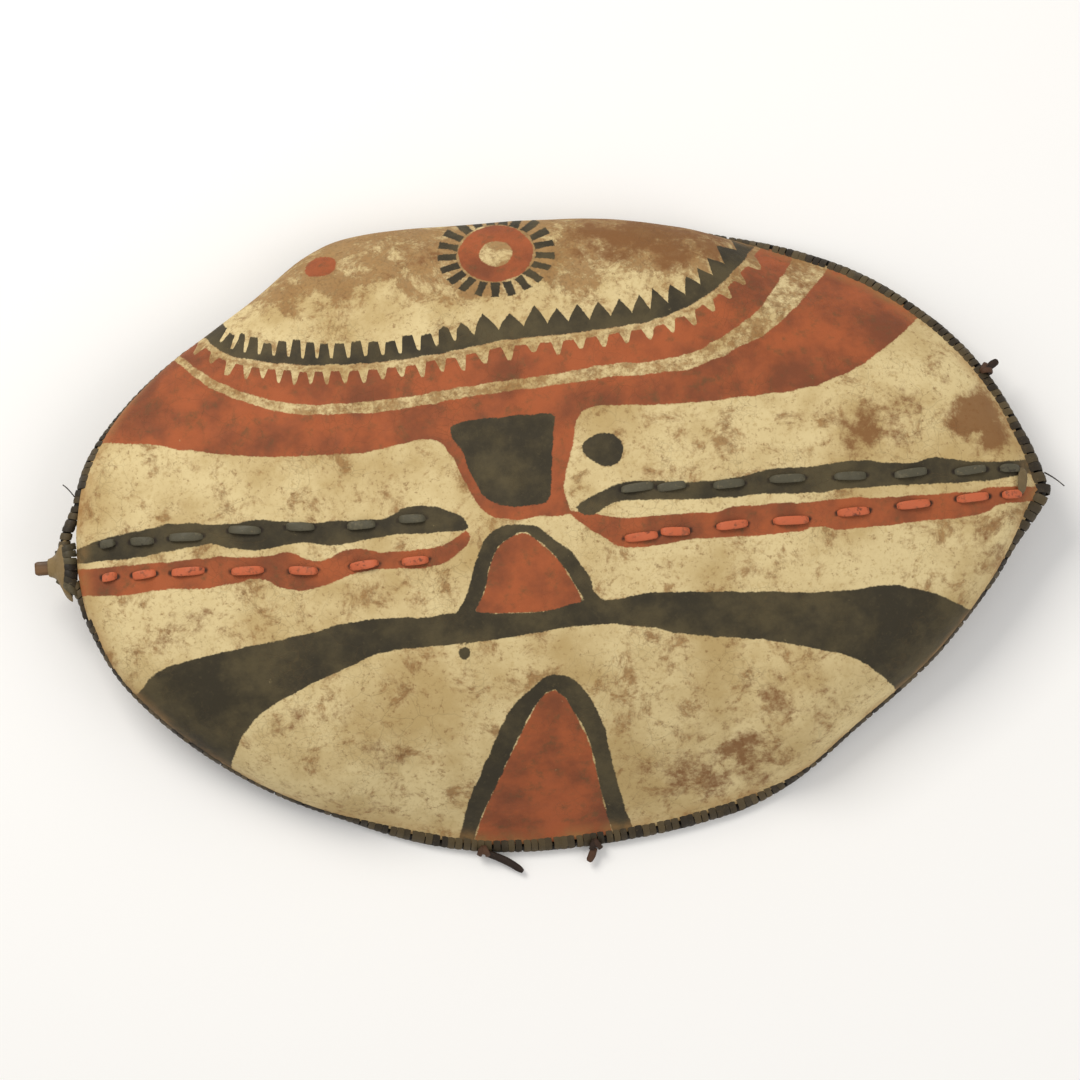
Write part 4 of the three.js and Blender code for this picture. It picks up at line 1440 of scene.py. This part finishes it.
        for k in range(len(rows) - 1):
            for sign, bow in ((1, 0.2), (-1, 2.6)):
                ends = mouth(k, 1, sign), mouth(k + 1, -1, -sign)
                bundle.add(self.crossing(*ends, bow), rng.uniform(0, 1))
        if half is Half.BUTT:
            bundle.add(self.crossing(mouth(0, -1, 1), mouth(0, -1, -1), 1.4), rng.uniform(0, 1))
        inner = len(rows) - 1 if half is Half.BUTT else 0
        end = 1 if half is Half.BUTT else -1
        ends = mouth(inner, end, 1), mouth(inner, end, -1)
        bundle.add(self.crossing(*ends, 1.4), rng.uniform(0, 1))
        return bundle.piece(self.shop, f"lacing_back_{half.value}")

    def end_turn(self) -> bpy.types.Object:
        """The thong that turns across the ridge at the pointed tip."""
        middle, length, row = self.tip[-1]
        x = middle + length / 2
        line, ways = [], []
        for t in np.linspace(-1, 1, 21):
            p, n = self.on_hide(x + 1.5 * t, row * t)
            over = 1 - abs(t) ** 4
            p = p + n * (self.rest + self.thick / 2 + 1.9 * over - 2.0 * (1 - over))
            line.append(p)
            ways.append((1.0, 0.0, -0.3))
        line, ways = np.array(line), np.array(ways)
        t = np.linspace(-1, 1, 21)
        widths = self.turn_width - (self.turn_width - self.leg) * np.abs(t) ** 3
        bundle = ThongBundle()
        bundle.add(Strap(12).sweep(line, ways, widths, np.full(len(line), 2.6)), 0.6)
        return bundle.piece(self.shop, "tip_turn")

    def dress(self) -> None:
        """Builds and dresses the stitches and the crossings."""
        rng = np.random.default_rng(SEED + 1)
        plain = DriedThong("lacing_thong", colour(120, 102, 70), colour(58, 46, 30)).material()
        black = DriedThong("black_stitch", colour(96, 90, 70), colour(48, 44, 36),
                           paint=colour(80, 76, 60)).material()
        red = DriedThong("red_stitch", colour(150, 84, 54), colour(110, 58, 38),
                         dust=colour(170, 120, 84), paint=colour(192, 98, 62)).material()
        for half in Half:
            replaced = (f"lacing_{half.value}",)
            for sign in (1, -1):
                piece = self.face_stitches(half, sign, rng)
                self.shop.finish(piece, black if sign > 0 else red, "thong")
            self.shop.finish(self.back(half, rng), plain, "thong", replaced)
        self.shop.finish(self.end_turn(), plain, "thong")


# ---- Collar and ties ----------------------------------------------------------------------


@dataclass
class ButtCollar:
    """The rawhide collar that holds the rim to the spine's butt, with a lashing over it."""

    shop: Workshop
    spine: Spine
    sections: tuple = (
        (-513, 9.0, 0.0), (-510, 9.6, 0.02), (-506, 11.0, 0.12), (-503, 15.5, 0.42),
        (-500, 20.5, 0.75), (-497, 25.0, 1.0), (-493, 29.0, 1.0), (-490, 31.0, 1.0),
    )

    def build(self) -> bpy.types.Object:
        """Lofts the collar, thin-walled, open towards the hide."""
        form = self.shop.form
        rim = form.stations(Side.UPPER, 35)["centre"][-1]
        low = self.spine.under(BUTT_END + 10) + self.spine.butt_thickness / 2
        sides = 40
        line = float(form.ridge_y(BUTT_END))
        rings = []
        for x, half, share in self.sections:
            z = mix(low, rim[2] - 5, share)
            tall = mix(self.spine.butt_thickness / 2 + 2.4, form.rim_radius + 7.6, share)
            for j in range(sides):
                a = -2 * math.pi * j / sides
                ca, sa = math.cos(a), math.sin(a)
                fold = 1 + 0.05 * math.sin(a * 7 + x * 0.3) * share + 0.03 * noise.noise(
                    Vector((x / 7.0, ca * 2, sa * 2)))
                skirt = 5.0 * share * max(0.0, -ca) * (1 if x > -498 else 0.4)
                rings.append((
                    x + 0.8 * math.sin(a * 5) * share,
                    line + (half * fold + skirt) * math.copysign(abs(ca) ** 0.75, ca),
                    z + tall * fold * math.copysign(abs(sa) ** 0.75, sa),
                ))
        faces = []
        for i in range(len(self.sections) - 1):
            for j in range(sides):
                k = (j + 1) % sides
                a, b = i * sides, (i + 1) * sides
                faces.append((a + j, b + j, b + k, a + k))
        piece = self.shop.mesh("butt_collar_hide", np.array(rings), faces)
        self.shop.deselect()
        piece.select_set(True)
        bpy.context.view_layer.objects.active = piece
        wall = piece.modifiers.new("wall", "SOLIDIFY")
        wall.thickness = 0.0022
        wall.offset = -1
        bpy.ops.object.modifier_apply(modifier="wall")
        soft = piece.modifiers.new("soft", "SUBSURF")
        soft.levels = soft.render_levels = 1
        bpy.ops.object.modifier_apply(modifier="soft")
        return piece

    def lashing(self) -> bpy.types.Object:
        """Turns of dark thong from the hide's edge over the rim and round the butt."""
        form = self.shop.form
        rim = form.stations(Side.UPPER, 35)["centre"][-1]
        bundle = ThongBundle()
        rng = np.random.default_rng(SEED + 2)
        for y0, y1 in ((14, 8), (7, 4), (-1, -1), (-8, -5), (-16, -9), (-25, -13), (-34, -17)):
            line = []
            for t in np.linspace(0, 1, 15):
                x = mix(-482.5, -503.5, t)
                arch = math.sin(math.pi * min(1.0, t * 1.15 + 0.08))
                z = rim[2] + 1.0 + 8.2 * arch - 12.0 * max(0.0, t - 0.55)
                line.append((x, mix(y0, y1, t) + rng.uniform(-0.3, 0.3), z))
            line = np.array(line)
            ways = np.tile(np.array([0.0, 1.0, 0.0]), (len(line), 1))
            widths, thick = np.full(len(line), 7.0), np.full(len(line), 2.2)
            bundle.add(Strap(10).sweep(line, ways, widths, thick), rng.uniform(0, 1))
        return bundle.piece(self.shop, "butt_lashing")

    def dress(self) -> None:
        """Builds and dresses the collar and its lashing."""
        collar = self.build()
        tone(collar, "tone", np.full(len(collar.data.vertices), 0.75))
        hide = DriedThong("collar_hide", colour(134, 112, 74), colour(74, 60, 40)).material()
        dark = DriedThong("lashing_thong", colour(84, 76, 54), colour(34, 28, 20)).material()
        self.shop.finish(collar, hide, "rim", ("butt_collar",), smooth=60.0)
        self.shop.finish(self.lashing(), dark, "tie")


@dataclass
class RimTies:
    """Knots where a thong ends on the rim, with stiff dried tails, and loose ends at the tips."""

    shop: Workshop
    ties: tuple = (
        (Side.LOWER, 0.566, 38.0, -33.0), (Side.LOWER, 0.4755, 12.0, -118.0),
        (Side.UPPER, 0.106, 9.0, 30.0),
    )

    def place(self, side: Side, share: float) -> tuple:
        """A place on the rim: its centre, the way out, the way along and its radius."""
        ring = self.shop.form.stations(side, 401)
        i = int(round(share * 400))
        along = unit(ring["centre"][i + 1] - ring["centre"][i - 1])
        return ring["centre"][i], ring["out"][i], along, ring["radius"][i]

    def tie(self, index: int) -> bpy.types.Object:
        """One knot: three turns of thong wound over each other, and its tail."""
        side, share, tail, heading = self.ties[index]
        centre, out, along, radius = self.place(side, share)
        middle = centre + out * radius * 0.75 + np.array([0, 0, radius * 0.75])
        rng = np.random.default_rng(SEED + 10 + index)
        bundle, strap = ThongBundle(), Strap(10)

        def add(line: np.ndarray, way: tuple, widths: np.ndarray, thick: float) -> None:
            ways = np.tile(np.array(way, float), (len(line), 1))
            swept = strap.sweep(line, ways, widths, np.full(len(line), thick))
            bundle.add(swept, rng.uniform(0, 1))

        up = np.array([0.0, 0.0, 1.0])
        for lean, size, shift in ((0.5, 5.6, -2.4), (-0.45, 5.3, 2.4), (1.35, 5.0, 0.2)):
            axis = unit(along * math.cos(lean) + out * math.sin(lean))
            u = unit(np.cross(axis, up))
            v = np.cross(axis, u)
            a = np.linspace(0, 2 * math.pi * 0.985, 22)[:, None]
            loop = middle + axis * shift + (u * np.cos(a) + v * np.sin(a)) * size
            add(loop, tuple(axis), np.full(22, 5.4), 2.2)
        way = np.array([math.cos(math.radians(heading)), math.sin(math.radians(heading)), -0.12])
        bend = np.array([-way[1], way[0], 0.0])
        t = np.linspace(0, 1, 14)[:, None]
        line = middle + way * (3.0 + (tail + 3.0) * t) + bend * np.sin(t * 2.6) * tail * 0.07
        line[:, 2] = np.maximum(line[:, 2], 3.2)
        widths = np.interp(t[:, 0], [0, 0.5, 0.9, 1], [7.0, 8.0, 6.8, 4.0])
        add(line, (-way[1], way[0], 0.2), widths, 4.2)
        return bundle.piece(self.shop, f"tie_{index + 1}")

    def loose_ends(self) -> bpy.types.Object:
        """A thin end of thong at the pointed tip and one at the butt."""
        bundle = ThongBundle()
        for side, share, way, long in ((Side.UPPER, 0.012, (0.72, -0.66, 0.25), 24.0),
                                       (Side.UPPER, 0.955, (-0.62, 0.74, 0.2), 17.0)):
            centre, out, _, radius = self.place(side, share)
            t = np.linspace(0, 1, 10)[:, None]
            line = centre + out * radius * 0.8 + np.array(way) * long * t
            line = line + np.array([0, 0, 2.0]) + np.array([0.0, 1.0, 0.0]) * np.sin(t * 3) * 1.2
            ways = np.tile(np.array([0.0, 0.3, 1.0]), (10, 1))
            widths = np.interp(t[:, 0], [0, 1], [2.6, 0.8])
            bundle.add(Strap(6).sweep(line, ways, widths, np.full(10, 1.2)), 0.1)
        return bundle.piece(self.shop, "loose_ends")

    def dress(self) -> None:
        """Builds and dresses the ties."""
        dark = DriedThong("tie_thong", colour(84, 56, 38), colour(36, 24, 16),
                          dust=colour(104, 80, 54)).material()
        for index in range(len(self.ties)):
            self.shop.finish(self.tie(index), dark, "tie", (f"rim_tie_{index + 1}",))
        self.shop.finish(self.loose_ends(), dark, "tie")


# ---- Studio -------------------------------------------------------------------------------


@dataclass
class Studio:
    """The floor, the lights and the camera."""

    shop: Workshop
    roll: float = 4.5
    lens: float = 100.0

    def floor(self) -> None:
        """A plain pale floor under the shield."""
        self.shop.deselect()
        bpy.ops.mesh.primitive_plane_add(size=14.0, location=(0, 0, -0.0004))
        floor = bpy.context.object
        floor.name = "floor"
        floor.data.materials.append(StudioFloor().material())
        floor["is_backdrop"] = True

    def lights(self) -> None:
        """A broad soft key from beyond the upper left, a weaker fill and an even sky."""
        for name, place, size, power, tint in (
            ("key", (-1.3, 1.7, 2.6), 1.6, 62.0, (1.0, 0.955, 0.88)),
            ("fill", (1.9, -1.2, 2.2), 2.4, 20.0, (1.0, 0.97, 0.93)),
        ):
            data = bpy.data.lights.new(name, "AREA")
            data.size = size
            data.energy = power
            data.color = tint
            lamp = bpy.data.objects.new(name, data)
            lamp.location = place
            aim = Vector((0, 0, 0.05)) - Vector(place)
            lamp.rotation_euler = aim.to_track_quat("-Z", "Y").to_euler()
            bpy.context.scene.collection.objects.link(lamp)
        world = bpy.data.worlds.new("studio")
        world.use_nodes = True
        sky = world.node_tree.nodes["Background"]
        sky.inputs[0].default_value = (1.0, 0.99, 0.97, 1.0)
        sky.inputs[1].default_value = 0.55
        bpy.context.scene.world = world
        bpy.context.scene.view_settings.view_transform = "Standard"

    def camera(self) -> None:
        """A camera high above the shield, its picture's foot a little below the long axis."""
        design = PaintedDesign()
        lean, roll = math.radians(design.lean), math.radians(self.roll)
        target = Vector(self.shop.metres(np.array([design.middle]))[0])
        forward = Vector((0, math.sin(lean), -math.cos(lean)))
        level = Vector((1, 0, 0))
        up = Vector((0, math.cos(lean), math.sin(lean)))
        right = level * math.cos(roll) - up * math.sin(roll)
        top = level * math.sin(roll) + up * math.cos(roll)
        data = bpy.data.cameras.new("camera")
        data.lens = self.lens
        data.sensor_width = 36.0
        camera = bpy.data.objects.new("camera", data)
        turn = Matrix((right, top, -forward)).transposed()
        stand = Matrix.Translation(target - forward * design.height * MM)
        camera.matrix_world = stand @ turn.to_4x4()
        bpy.context.scene.collection.objects.link(camera)
        bpy.context.scene.camera = camera

    def build(self) -> None:
        """Sets the studio up."""
        self.floor()
        self.lights()
        self.camera()


def main() -> None:
    """Builds the shield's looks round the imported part."""
    logging.basicConfig(level=logging.INFO, format="%(name)s: %(message)s")
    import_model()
    first = [list(v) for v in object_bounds()]
    shop = Workshop(ShieldForm())
    spine = Spine(shop)
    shop.locate(spine.middle())
    lacing = Lacing(shop, spine)
    shell = HideShell(shop)
    shell.dress(shell.build(), lacing.holes())
    BoundRim(shop).dress()
    spine.dress()
    lacing.dress()
    ButtCollar(shop, spine).dress()
    RimTies(shop).dress()
    Studio(shop).build()
    last = [list(v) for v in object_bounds()]
    for name, a, b in zip("xyz", first[1], last[1]):
        LOG.info("top of %s: part %.4f, looks %.4f", name, a, b)


if __name__ == "__main__":
    main()
